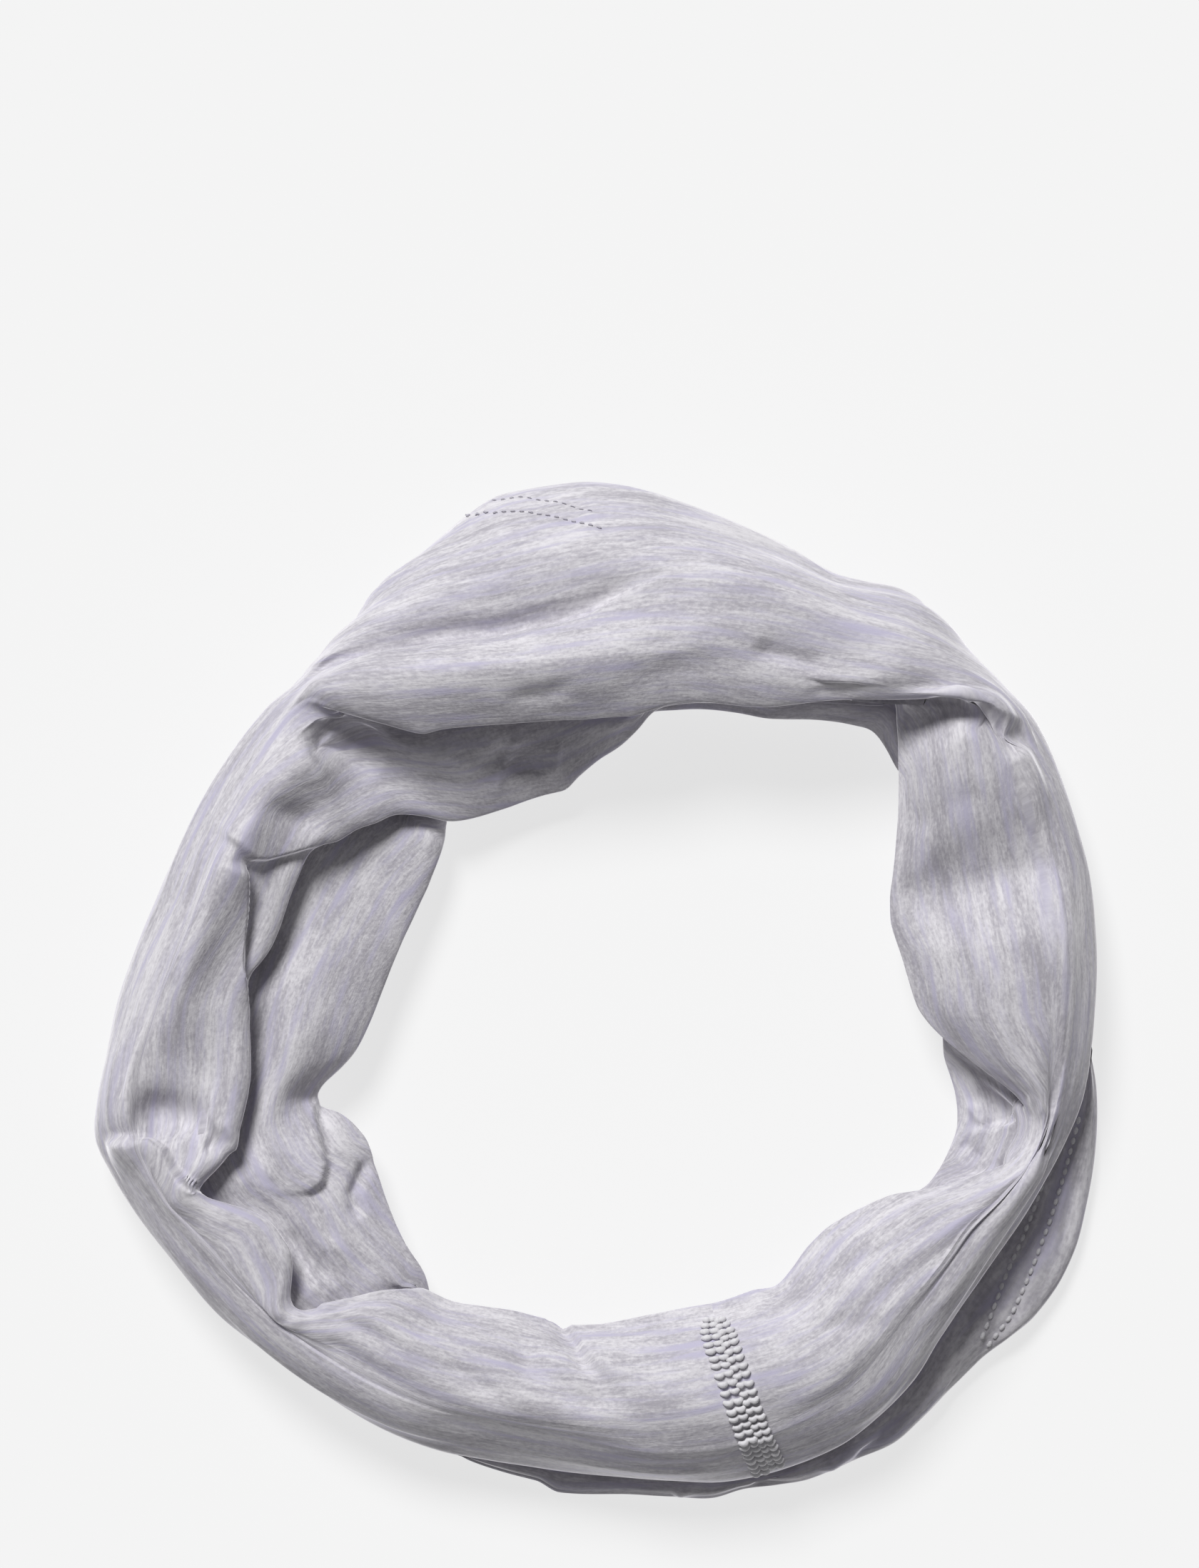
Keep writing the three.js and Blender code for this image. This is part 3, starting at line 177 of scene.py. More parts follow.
OPENING = [               # the low layer's edge at the neck opening
    [0, 60.5, 6, 6, 4], [20, 59.5, 6, 6, 4], [32, 66.5, 5.5, 6, 4], [38, 70, 5, 6, 3],
    [41, 70.6, 5, 6, 3], [44, 71.6, 5, 6, 3], [47, 72.1, 5, 6, 3], [50, 70.6, 5, 6, 3],
    [55, 67.3, 5, 6, 3], [60, 63.8, 5, 6, 3], [63, 62.2, 5, 6, 3], [68, 60.9, 5, 6, 3],
    [75, 59.3, 5, 6, 3], [80, 58, 5, 6, 3], [83, 57.4, 5, 6, 3], [88, 55.5, 5, 5, 3],
    [100, 49, 4.5, 5, 3], [125, 49, 4.5, 5, 3], [131, 50.5, 6, 5, 4], [133.5, 48.8, 8, 5, 5],
    [136, 47.4, 8.5, 5, 5.5], [140, 45.8, 8.4, 5, 6], [145, 44.6, 8.8, 5, 6], [150, 43.8, 9, 5, 6],
    [157, 43.5, 9.4, 5, 6], [165, 44, 10, 5, 6], [172, 45, 10, 5, 6], [180, 47, 10, 5, 6],
    [186, 49.6, 10, 5, 6], [190, 52.5, 10, 5, 6], [192.5, 55.8, 9.5, 5, 6], [195, 60.3, 9, 5, 6],
    [197, 61.8, 8.5, 5, 5.5], [198.5, 61.6, 8.5, 5, 5.5], [200.5, 59.2, 8.5, 5, 5.5],
    [204, 56.8, 9, 5, 6], [208, 55.8, 9, 5, 6], [213, 56.7, 9, 5, 6], [220, 59, 9, 5, 6],
    [228, 62.4, 9, 5, 6], [234, 64.6, 8, 5, 5], [239, 68.6, 6, 5, 4], [246, 67.5, 5, 5, 3],
    [258, 65.5, 5, 5, 3], [290, 63.5, 5, 5, 3], [312, 62, 5, 5, 3], [322, 65, 5.5, 5, 3.5],
    [327, 67.6, 5.6, 5, 3.5], [330, 69.2, 5.4, 5, 4], [335, 69.7, 5.2, 5, 4], [339, 69.6, 5.2, 5, 4],
    [342, 68.7, 5.2, 5, 4], [345, 67.2, 5.2, 5, 4], [348, 65.2, 5.2, 5, 4], [351, 63.4, 5.6, 5, 3.6],
    [355, 62.6, 6, 6, 4],
]


def line(rows, turn):
    """A table's columns at any turn: a cubic between each two rows, whose slope at a row is the
    weighted harmonic mean of the slopes on both sides, or level at a high or low point."""
    rows = np.array(rows, float)
    rows = np.vstack([rows[-2:], rows, rows[:3]])
    rows[:2, 0] -= 360
    rows[-3:, 0] += 360
    deg, val = rows[:, 0], rows[:, 1:]
    step = np.diff(deg)[:, None]
    rise = np.diff(val, axis=0) / step
    a, b, h0, h1 = rise[:-1], rise[1:], step[:-1], step[1:]
    turning = a * b <= 0
    safe_a, safe_b = np.where(turning, 1, a), np.where(turning, 1, b)
    lean = 3 * (h0 + h1) / ((2 * h1 + h0) / safe_a + (h1 + 2 * h0) / safe_b)
    lean = np.vstack([rise[:1], np.where(turning, 0, lean), rise[-1:]])
    t = np.mod(turn, 360.0)
    i = np.searchsorted(deg, t, side="right") - 1
    h = step[i]
    u = ((t - deg[i]) / h[:, 0])[:, None]
    out = (val[i] * (2 * u**3 - 3 * u**2 + 1) + lean[i] * h * (u**3 - 2 * u**2 + u)
           + val[i + 1] * (3 * u**2 - 2 * u**3) + lean[i + 1] * h * (u**3 - u**2))
    return out.T


def smooth(w):
    """0 below 0, 1 above 1, and 3w^2 - 2w^3 between."""
    w = np.clip(w, 0, 1)
    return w * w * (3 - 2 * w)


def fold(tag, edge, before, following, limit=np.inf, room=np.inf):
    """A folded edge's points. Shut, the cloth turns round FOLD, runs back by its tuck and comes out
    below, inside the room it has. Open, the same points lie in a row on the slope from the point
    before to the following one. The share of shut is smooth((tuck + 1) / 6)."""
    out, up, tuck, drop = edge
    w = smooth((tuck + 1) / 6)
    r, back = np.minimum(FOLD, drop * 0.4), np.maximum(tuck, LIP + 1.4)
    dx, dz = following[0] - out, following[1] - up
    d = np.hypot(dx, dz) + 1e-9
    reach = np.minimum(6.5, d * 0.7)

    def further(by):
        """A distance out from the edge by so much, or less where the room ends."""
        return np.minimum(out + by, np.maximum(room, out + 0.3))

    lip = np.minimum(np.minimum(LIP, limit - out), further(back) - out - 0.6)
    shut = {
        "edge": (out, up, 0 * d),
        "under": (further(r), up - 0.95 * r, reach * 0.2),
        "hook": (further(HOOK), up - r, reach * 0.35),
        "turn": (further(back), up - r, reach * 0.5),
        "back": (further(back), up - drop, reach * 0.65),
        "lip": (out + lip, up - drop, reach * 0.8),
        "below": (out + np.minimum(0.6, lip - 1.4), up - drop - 0.2, reach),
    }
    over = [out + 0.45 * (before[0] - out), up + 0.45 * (before[1] - up)]
    points = {f"{tag}.over": [over[0] + w * (out + r - over[0]), over[1] + w * (up + 0.95 * r - over[1])]}
    return points | {f"{tag}.{name}": [out + dx / d * s + w * (x - out - dx / d * s),
                                       up + dz / d * s + w * (z - up - dz / d * s)]
                     for name, (x, z, s) in shut.items()}


FLAP = (38, 135)                      # the turns at which the front roll lies over the middle layer


def section(turn):
    """The section's points at each turn, in order from the foot on the table, over the outer roll,
    down the layers to the opening, and back out along the table: {name: [out, up]}. Where there is
    little room for a layer, it runs straight from its start to its end."""
    rim, rim_up = line(RIM, turn)
    shoulder, slope, inner = line(SHOULDER, turn), line(SLOPE, turn), line(INNER, turn)
    front, edge, hole = line(FRONT, turn), line(MIDDLE_EDGE, turn), line(OPENING, turn)
    brow, flat = line(BROW, turn), 0 * rim
    room = brow[0] - INSIDE
    points = {
        "foot": [rim - FOOT_IN, flat + 1.0], "low": [rim - 1.6, rim_up * 0.5], "rim": [rim, rim_up],
        "crest": line(CREST, turn), "vale": line(VALE, turn), "brow": brow,
    }
    points |= fold("front", front, brow, shoulder, rim - 6, room)
    middle = fold("edge", edge, slope, inner, np.inf, room)
    # the middle layer starts under the front roll's edge and ends at its own, and its points between
    # stay in order from the one to the other
    start, lip, end = points["front.below"], points["front.lip"], middle["edge.over"]
    flap = (turn % 360 >= FLAP[0]) & (turn % 360 <= FLAP[1])
    start[0] = np.where(flap, np.maximum(start[0], end[0] + 0.5), start[0])
    lip[0] = np.where(flap, np.maximum(lip[0], start[0] + 0.8), lip[0])
    span = start[0] - end[0]
    tight = span < LEAST_SPAN
    shoulder[0] = np.minimum(shoulder[0], start[0] - 0.2 * span)
    slope[0] = np.maximum(end[0] + 0.2 * span, np.minimum(slope[0], shoulder[0] - 0.2 * span))
    shoulder[0] = np.maximum(shoulder[0], slope[0] + 0.2 * span)
    for point, w in ((shoulder, 0.35), (slope, 0.7)):
        for i in (0, 1):
            point[i] = np.where(tight, start[i] + w * (end[i] - start[i]), point[i])
    # the low layer stays under the middle layer's edge, and outside its own at the opening
    below = middle["edge.below"]
    below[0] = np.maximum(below[0], hole[0] + 3.6)
    inner[0] = np.maximum(hole[0] + 3, np.minimum(inner[0], below[0] - 0.5))
    inner[1] = np.minimum(inner[1], below[1] + 0.6 + 0.25 * (below[0] - inner[0]))
    hole[1] = np.minimum(hole[1], inner[1] - 1.6)
    points |= {"shoulder": shoulder, "slope": slope, **middle, "inner": inner}
    opening = fold("hole", hole, inner, [hole[0] - 6, hole[1] - 4])
    points |= {name: opening[name] for name in ("hole.over", "hole.edge", "hole.under")}
    points |= {
        "heart": [hole[0] + 4.6, hole[1] * 0.45], "heel": [hole[0] + 5.6, flat + 1.5],
        "sole": [hole[0] + 8.0, flat + 0.95], "under": [(rim + hole[0]) / 2, flat + 0.9],
        "last": [rim - FOOT_IN - 1.2, flat + 0.9],
    }
    return points


def curve(points, counts):
    """Centripetal Catmull-Rom through the points of every section at once. counts gives the rows
    from each point to the next. Returns the rows and the row number of each named point."""
    names = list(points)
    p = np.array([points[name] for name in names]).transpose(0, 2, 1)
    p = np.concatenate([2 * p[:1] - p[1:2], p, 2 * p[-1:] - p[-2:-1]])
    gap = np.sqrt(np.linalg.norm(np.diff(p, axis=0), axis=2)) + 1e-3
    rows, start, at = [], {}, 0
    for i, name in enumerate(names[:-1]):
        p0, p1, p2, p3 = p[i], p[i + 1], p[i + 2], p[i + 3]
        t1 = gap[i]
        t2, t3 = t1 + gap[i + 1], t1 + gap[i + 1] + gap[i + 2]
        share = np.arange(counts[name])[:, None] / counts[name]
        t = (t1 + share * (t2 - t1))[..., None]
        t1, t2, t3 = t1[None, :, None], t2[None, :, None], t3[None, :, None]
        a1 = p0 + (p1 - p0) * t / t1
        a2 = p1 + (p2 - p1) * (t - t1) / (t2 - t1)
        a3 = p2 + (p3 - p2) * (t - t2) / (t3 - t2)
        b1 = a1 + (a2 - a1) * t / t2
        b2 = a2 + (a3 - a2) * (t - t1) / (t3 - t1)
        rows.append(b1 + (b2 - b1) * (t - t1) / (t2 - t1))
        start[name] = at
        at += counts[name]
    rows.append(p[-2][None])
    start[names[-1]] = at
    return np.concatenate(rows), start


COLUMNS = 900                         # sections round the ring
ROWS = {                              # rows of the mesh from each point to the next
    "foot": 3, "low": 3, "rim": 8, "crest": 14, "vale": 14, "brow": 18, "front.over": 5,
    "front.edge": 5, "front.under": 4, "front.hook": 4, "front.turn": 4, "front.back": 4,
    "front.lip": 6, "front.below": 10, "shoulder": 16, "slope": 14, "edge.over": 5, "edge.edge": 5,
    "edge.under": 4, "edge.hook": 4, "edge.turn": 4, "edge.back": 4, "edge.lip": 6, "edge.below": 8,
    "inner": 12, "hole.over": 5, "hole.edge": 5, "hole.under": 5, "heart": 3, "heel": 3, "sole": 3,
    "under": 3,
}
turns = SEAM_TURN + 360.0 * np.arange(COLUMNS) / COLUMNS
profile, row = curve(section(turns), ROWS)


def round_the_ring(a, sigma):
    """a, averaged with its neighbours round the ring by a bell curve sigma columns wide."""
    reach = np.arange(-int(3 * sigma) - 1, int(3 * sigma) + 2)
    bell = np.exp(-0.5 * (reach / sigma) ** 2)
    return sum(b * np.roll(a, k, axis=1) for k, b in zip(reach, bell / bell.sum()))


profile = round_the_ring(profile, 1.2)


def placed(profile, turn):
    """Sections [row, column, (out, up)] set round the ring's middle: [column, row, (x, y, z)]."""
    a = np.radians(turn)
    x = MIDDLE[0] + profile[..., 0] * np.cos(a)
    y = MIDDLE[1] + profile[..., 0] * np.sin(a)
    return np.stack([x, y, profile[..., 1]], axis=2).transpose(1, 0, 2)


def square_to(grid, ring=True):
    """Unit vectors square to a grid of points, by the cross product of its two directions."""
    along = np.roll(grid, -1, 0) - np.roll(grid, 1, 0) if ring else np.gradient(grid, axis=0)
    n = np.cross(along, np.gradient(grid, axis=1))
    return n / (np.linalg.norm(n, axis=2, keepdims=True) + 1e-12)


def evened(normals, passes):
    """Unit vectors averaged with their neighbours on the grid, so that they turn slowly."""
    for _ in range(passes):
        wide = np.pad(normals, ((0, 0), (1, 1), (0, 0)), mode="edge")
        normals = normals * 2 + wide[:, :-2] + wide[:, 2:]
        normals = normals * 2 + np.roll(normals, 1, 0) + np.roll(normals, -1, 0)
        normals = normals / (np.linalg.norm(normals, axis=2, keepdims=True) + 1e-12)
    return normals


cloth = placed(profile, turns)
outward = evened(square_to(cloth), 2)

# how far each row lies along the panel: each layer is measured from a line of its own, so that the
# yarn runs along the layers, and the lengths are blended inside the folds
run = np.concatenate([np.zeros((1, COLUMNS)),
                      np.cumsum(np.linalg.norm(np.diff(profile, axis=0), axis=2), axis=0)])
mean_run = run.mean(axis=1)
anchors = [mean_run[row[a]] + run - run[row[a]] for a in ("brow", "slope", "inner")]
k = np.arange(len(run))[:, None]
front_share = smooth((k - row["front.under"]) / (row["front.back"] - row["front.under"]))
edge_share = smooth((k - row["edge.under"]) / (row["edge.back"] - row["edge.under"]))
length = anchors[0] + front_share * (anchors[1] - anchors[0])
length = length + edge_share * (anchors[2] - length)
length = length.T                     # [column, row], in mm


def polar(points):
    """Points given as (turn, out) in the plane of the table."""
    turn, out = np.radians(np.array(points, float)[:, 0]), np.array(points, float)[:, 1]
    return np.stack([MIDDLE[0] + out * np.cos(turn), MIDDLE[1] + out * np.sin(turn)], axis=1)


def beside(path, xy):
    """For each place in the plane, the signed distance to the nearest point of a path (left of its
    direction counts as more than zero), and how far along the path that point is, from 0 to 1."""
    path = polar(path)
    best = np.full(xy.shape[:-1], 1e9)
    side, share = np.zeros_like(best), np.zeros_like(best)
    legs = np.linalg.norm(np.diff(path, axis=0), axis=1)
    done, total = np.concatenate([[0], np.cumsum(legs)]), legs.sum()
    for a, b, leg, before in zip(path[:-1], path[1:], legs, done):
        t = np.clip(((xy - a) @ (b - a)) / leg**2, 0, 1)
        off = xy - (a + t[..., None] * (b - a))
        d = np.linalg.norm(off, axis=-1)
        near = d < best
        cross = (b - a)[0] * off[..., 1] - (b - a)[1] * off[..., 0]
        best, side = np.where(near, d, best), np.where(near, np.sign(cross), side)
        share = np.where(near, (before + t * leg) / total, share)
    return best * side, share


def between(first, last, ease=2.0):
    """1 on the rows between two named points, falling to 0 over ease rows outside them."""
    k = np.arange(cloth.shape[1])
    return (smooth((k - row[first] + ease) / ease) * smooth((row[last] + ease - k) / ease))[None]


def tapered(share, start, end):
    """Fades in over the first share of a path and out over the last."""
    return smooth((share + 1e-6) / start) * smooth((1 - share + 1e-6) / end)


def trough(path, width, depth, rows, fades):
    """A soft trough along a path: a bell curve across it, as deep as depth, fading at the ends. A
    depth under zero raises a ridge."""
    side, share = beside(path, cloth[..., :2])
    return -depth * np.exp(-((side / width) ** 2)) * tapered(share, *fades) * between(*rows)


def lapped(path, height, reach, rows, step, fades):
    """A fold of cloth that stands over what is on its right: on the left it is raised, falling off
    over reach, and on the right pressed down by less, with a step between the two."""
    side, share = beside(path, cloth[..., :2])
    up = height * np.exp(-((np.maximum(side, 0) / reach) ** 2))
    down = -0.7 * height * np.exp(-((np.minimum(side, 0) / (0.6 * reach)) ** 2))
    w = smooth(side / (2 * step) + 0.5)
    return (down + w * (up - down)) * tapered(share, *fades) * between(*rows)


# The soft folds that the hands left in the cloth, in three tables. Each path is a list of (turn, out).
ROLL = ("crest", "front.edge")        # the rows that a fold crosses
WHOLE = ("crest", "edge.edge")
LAYER = ("front.below", "edge.edge")
LOW = ("edge.lip", "hole.edge")
TROUGHS = [               # width, depth (a ridge's is under zero), rows, fade in, fade out, path
    # the front roll: the hollow beside its crease, its long hollow and its small dents
    [2.0, 2.3, ROLL, 0.3, 0.3, [[86, 83.2], [89.7, 80.4], [95.2, 77], [101, 76.1], [107.3, 76.3],
        [113.8, 78.6], [119.7, 81.2], [124, 84]]],
    [4.2, 1.6, ROLL, 0.25, 0.25, [[50, 84], [56, 80], [64, 76], [75, 69], [92, 63.5]]],
    [2.4, 1.5, ROLL, 0.25, 0.25, [[70, 74.8], [66, 74], [61.5, 74.8], [58, 76.4]]],
    [1.2, 0.7, ROLL, 0.4, 0.4, [[60, 69.6], [55, 73.4], [51.5, 77.4]]],
    [1.6, 0.7, ROLL, 0.4, 0.4, [[78, 72.4], [84, 70.4], [90, 69.6]]],
    [1.8, 0.8, ROLL, 0.4, 0.4, [[96, 62.4], [104, 61.6], [112, 63]]],
    [2.2, 3.6, WHOLE, 0.3, 0.3, [[41, 86.4], [38, 89.6], [34.5, 91.2], [31.5, 91]]],
    # upper left: the hollow under the roll's curled end, and the folds beside it
    [2.0, 1.8, LAYER, 0.2, 0.3, [[136.5, 85], [134.5, 80], [133.5, 74], [131, 67]]],
    [3.6, 4.2, LAYER, 0.35, 0.25, [[133.5, 65], [136, 71], [137.4, 76], [136.4, 81]]],
    [4.5, -2.8, ("front.back", "edge.edge"), 0.3, 0.3, [[104, 56.5], [112, 58], [120, 60.5], [126, 64],
        [131, 69]]],
    [1.2, -0.8, LAYER, 0.25, 0.25, [[109, 57], [113, 54], [117, 50.5], [121.4, 46.6]]],
    [1.0, -0.6, LAYER, 0.25, 0.25, [[103, 53], [105, 48], [106.8, 44.2]]],
    [2.4, -1.1, LAYER, 0.25, 0.25, [[121, 52], [124, 57], [126, 62]]],
    [2.6, 1.4, LAYER, 0.25, 0.25, [[108, 46], [113, 51], [116, 57]]],
    [2.2, -1.1, LAYER, 0.35, 0.45, [[147, 62], [144.9, 68.3], [141.9, 74.4], [139.3, 80.5]]],
    [3.0, 1.5, LAYER, 0.25, 0.25, [[149, 66], [150.5, 74], [150, 82]]],
    # left: the wide hollow, and the crumpled end of the fold
    [3.6, 4.0, ("crest", "slope"), 0.35, 0.3, [[192.4, 97.4], [192.9, 92.6], [194.4, 86.4],
        [196.6, 80.4]]],
    [3.0, 1.8, LAYER, 0.25, 0.25, [[198, 90], [198.8, 84], [199, 79]]],
    [1.1, 1.1, LAYER, 0.25, 0.25, [[194, 84], [197.6, 82.4], [200.6, 83.4]]],
    [1.0, -0.9, LAYER, 0.25, 0.25, [[195.6, 79.6], [198.6, 79], [201, 80.6]]],
    # lower left: the ridge that the low layer runs down in, and the folds beside it
    [2.0, -1.6, LOW, 0.25, 0.25, [[200, 74.5], [203, 75.5], [207, 75.9], [212.5, 74.4], [219, 73.4],
        [226, 70.4]]],
    [1.2, 1.1, LOW, 0.25, 0.25, [[213.5, 77], [217, 77.6], [221, 78], [225, 76]]],
    [1.3, 1.4, LOW, 0.25, 0.25, [[211, 56.6], [213, 59], [214.6, 61.5], [215.4, 63], [220, 65.4]]],
    [1.6, 1.0, LAYER, 0.1, 0.6, [[226, 82], [233, 79], [242, 78.4]]],
    [1.8, 0.9, WHOLE, 0.2, 0.6, [[227, 86.6], [236, 84.6], [246, 84.4]]],
    [1.5, 0.8, LAYER, 0.15, 0.6, [[229.4, 76], [236, 73.6], [244, 73]]],
    # bottom: long soft pleats, and a firmer outer edge at both ends
    [2.6, 1.5, LAYER, 0.25, 0.25, [[251, 66], [256, 71.5], [263, 75.5], [271, 77.5]]],
    [2.2, 1.2, LAYER, 0.2, 0.4, [[261.6, 66], [266, 71], [270, 75.6], [273, 80]]],
    [2.0, 1.2, LAYER, 0.4, 0.4, [[240, 76], [248, 77.4], [256, 79.6]]],
    [2.2, 0.8, WHOLE, 0.25, 0.25, [[244, 88], [258, 84], [274, 86.5]]],
    [2.4, 0.9, LAYER, 0.4, 0.3, [[295, 76], [308, 74.4], [322, 77.4], [331, 81]]],
    [1.7, 0.8, LAYER, 0.4, 0.3, [[302, 66], [314, 67.4], [326, 73.4], [334, 80]]],
    [2.0, 0.9, LAYER, 0.4, 0.4, [[298, 70], [303, 73.6], [308, 77.6], [311, 80.4]]],
    [2.4, -0.6, WHOLE, 0.4, 0.4, [[290, 84], [300, 82.8], [309, 79]]],
    [2.2, -1.3, ROLL, 0.15, 0.4, [[342, 87.4], [338, 86], [332, 84.4], [326, 83.4], [318, 84.2],
        [310, 86]]],
    [3.0, -0.9, ROLL, 0.3, 0.3, [[212, 93.6], [222, 92.2], [232, 90.6], [242, 89.8], [252, 88.6]]],
    # right: the hollow across it, and the folds that gather at the pinch
    [3.4, 0.8, WHOLE, 0.1, 0.2, [[20, 58], [19.5, 72], [19, 84], [19.5, 91]]],
    [3.0, 0.7, WHOLE, 0.25, 0.25, [[31, 64], [31.5, 74], [30.5, 82]]],
    [1.5, 0.8, LAYER, 0.12, 0.6, [[345.6, 84], [350, 79], [357, 76.4], [4, 76]]],
    [1.2, 0.7, LAYER, 0.12, 0.6, [[346.4, 81.4], [350.6, 74.4], [356, 70]]],
    [1.4, 0.6, WHOLE, 0.12, 0.6, [[346, 86.4], [352, 84.2], [0, 83.6]]],
    [0.8, -0.8, LOW, 0.3, 0.3, [[344.4, 70], [342.8, 72], [341.2, 75]]],
    [2.0, 1.6, LOW, 0.4, 0.1, [[347.4, 70], [346, 74], [344.8, 79]]],
    [0.9, -0.7, LOW, 0.1, 0.4, [[344.6, 82.4], [347.4, 75], [349.6, 69.4]]],
    [1.6, 0.9, LOW, 0.25, 0.25, [[336.5, 76.6], [337.5, 73.4], [338, 70.6]]],
]
LAPS = [                  # height, reach, rows, half the step's width, fade in, fade out, path
    # the crease where the roll turns over the upper outer cloth
    [1.3, 4.0, ROLL, 0.35, 0.3, 0.15, [[81, 86.6], [84, 83.6], [89.7, 79.2], [95.2, 75.8], [101, 74.8],
        [107.3, 74.8], [113.8, 77], [119.7, 79.3], [125.7, 82.4], [132.4, 87]]],
    # the roll's dents
    [0.5, 2.0, ROLL, 0.4, 0.4, 0.4, [[63, 71.4], [58, 73.4], [54, 76.6], [50, 80]]],
    # the roll's curled right end
    [1.7, 4.0, WHOLE, 0.6, 0.3, 0.3, [[46, 83], [42.5, 88], [39, 91.4], [35, 93.6], [31, 94.6]]],
    # the upper left stretch's end, over the left stretch
    [1.3, 4.5, WHOLE, 0.9, 0.5, 0.2, [[155.6, 87.6], [156.2, 85], [157.1, 79.5], [158.3, 76.4],
        [157.6, 73.6], [155.6, 70.4], [153, 67], [151, 64.4]]],
    # the left stretch's upper edge
    [1.7, 4.0, LAYER, 0.5, 0.35, 0.06, [[184, 71.6], [180, 71.8], [175, 72.6], [170, 73.4], [165, 74.4],
        [161, 75.8], [158.8, 76.6]]],
    # the ridge under the left stretch's crumpled end
    [1.9, 5.0, WHOLE, 0.8, 0.25, 0.15, [[206, 87], [202.5, 90], [200, 91.4], [197.5, 91.8], [195.6, 94],
        [195.2, 98], [194.4, 103.5]]],
    # the low layer's rounded lobe
    [1.3, 4.5, LOW, 1.0, 0.4, 0.12, [[207.6, 75.4], [209.6, 73], [211.2, 70], [211, 66.8], [208.6, 64.4],
        [204.6, 63.4], [200.6, 62.9], [196.8, 61.4]]],
    # the lower left stretch's edge
    [-0.9, 3.0, LAYER, 0.6, 0.5, 0.1, [[241, 66.8], [234, 67.6], [231, 69.9], [228, 74.9], [225.6, 81.5],
        [223, 85.6]]],
    # the crease that runs in from the notch in the opening's edge
    [1.0, 5.0, LAYER, 0.7, 0.02, 0.6, [[259, 60.5], [260.6, 63.3], [263.6, 66.6], [267, 69.6],
        [272, 72]]],
    # the fold over the low layer at the pinch
    [1.0, 4.0, LOW, 0.6, 0.1, 0.4, [[344.2, 82.4], [343, 79], [341.3, 75], [340.2, 71]]],
]
SEAM = [[286.7, 59], [286.9, 65], [287.4, 85.5], [287.9, 94.5]]
UPPER_HEM = [             # the upper hem's two rows of stitches: (turn, out)
    [[92, 91.8], [96, 94.2], [100.5, 96.9], [105, 98.4], [107.5, 98.8]],
    [[93, 95.4], [97, 97.8], [101, 99.8], [104.6, 100.6]],
]
PULLED = [                # the dents that the stitching pulls in: width, depth, rows, fades and path
    [2.6, 0.45, ("rim", "edge.edge"), 0.1, 0.03, SEAM],
    [0.8, 0.35, ("rim", "vale"), 0.15, 0.1, UPPER_HEM[0]],
    [0.8, 0.35, ("rim", "vale"), 0.15, 0.1, UPPER_HEM[1]],
    [0.9, 0.5, ("rim", "brow"), 0.4, 0.2, [[78, 83], [84, 86.6], [89, 89.6], [94, 93]]],
]
push = np.zeros(cloth.shape[:2])
for width, depth, rows, start, end, path in TROUGHS + PULLED:
    push += trough(path, width, depth, rows, (start, end))
for height, reach, rows, step, start, end, path in LAPS:
    push += lapped(path, height, reach, rows, step, (start, end))


def ripples(along, across, seed, waves, finest, widest):
    """Slight unevenness, longer along the yarn than across it: a sum of cosines whose turns round the
    ring are whole numbers, with heights in proportion to their breadth."""
    rng = np.random.default_rng(seed)
    total = np.zeros(np.broadcast(along, across).shape)
    for wide in np.exp(rng.uniform(np.log(finest), np.log(widest), waves)):
        whole = int(rng.integers(-1, 2) * rng.integers(1, 9) + round(ROUND / wide * rng.normal(0, 0.05)))
        total += wide * np.cos(2 * np.pi * (whole * along / ROUND + across / wide) + rng.uniform(0, 6.28))
    return total / math.sqrt(waves) / widest


around = (ROUND * np.arange(COLUMNS) / COLUMNS)[:, None]
push += 0.42 * ripples(around, length, 4, 22, 10.0, 34.0)
# deeper folds along the outer side, which is steep
push += 0.9 * between("low", "rim", 6.0) * ripples(around, length, 11, 14, 8.0, 22.0)


def lowest(a, reach):
    """At each place of a ring of rows, the least value that a has within reach of it both ways."""
    for _ in range(reach):
        wide = np.pad(a, ((0, 0), (1, 1)), mode="edge")
        a = np.minimum(np.minimum(wide[:, :-2], wide[:, 2:]), a)
        a = np.minimum(np.minimum(np.roll(a, 1, 0), np.roll(a, -1, 0)), a)
    return a


lining = cloth + (lowest(push, 3) - CLOTH)[..., None] * outward
cloth = cloth + push[..., None] * outward
# nothing sinks into the table
lining[..., 2] = np.maximum(lining[..., 2], CLOTH / 3)
cloth[..., 2] = np.maximum(cloth[..., 2], CLOTH)
upright = square_to(cloth)


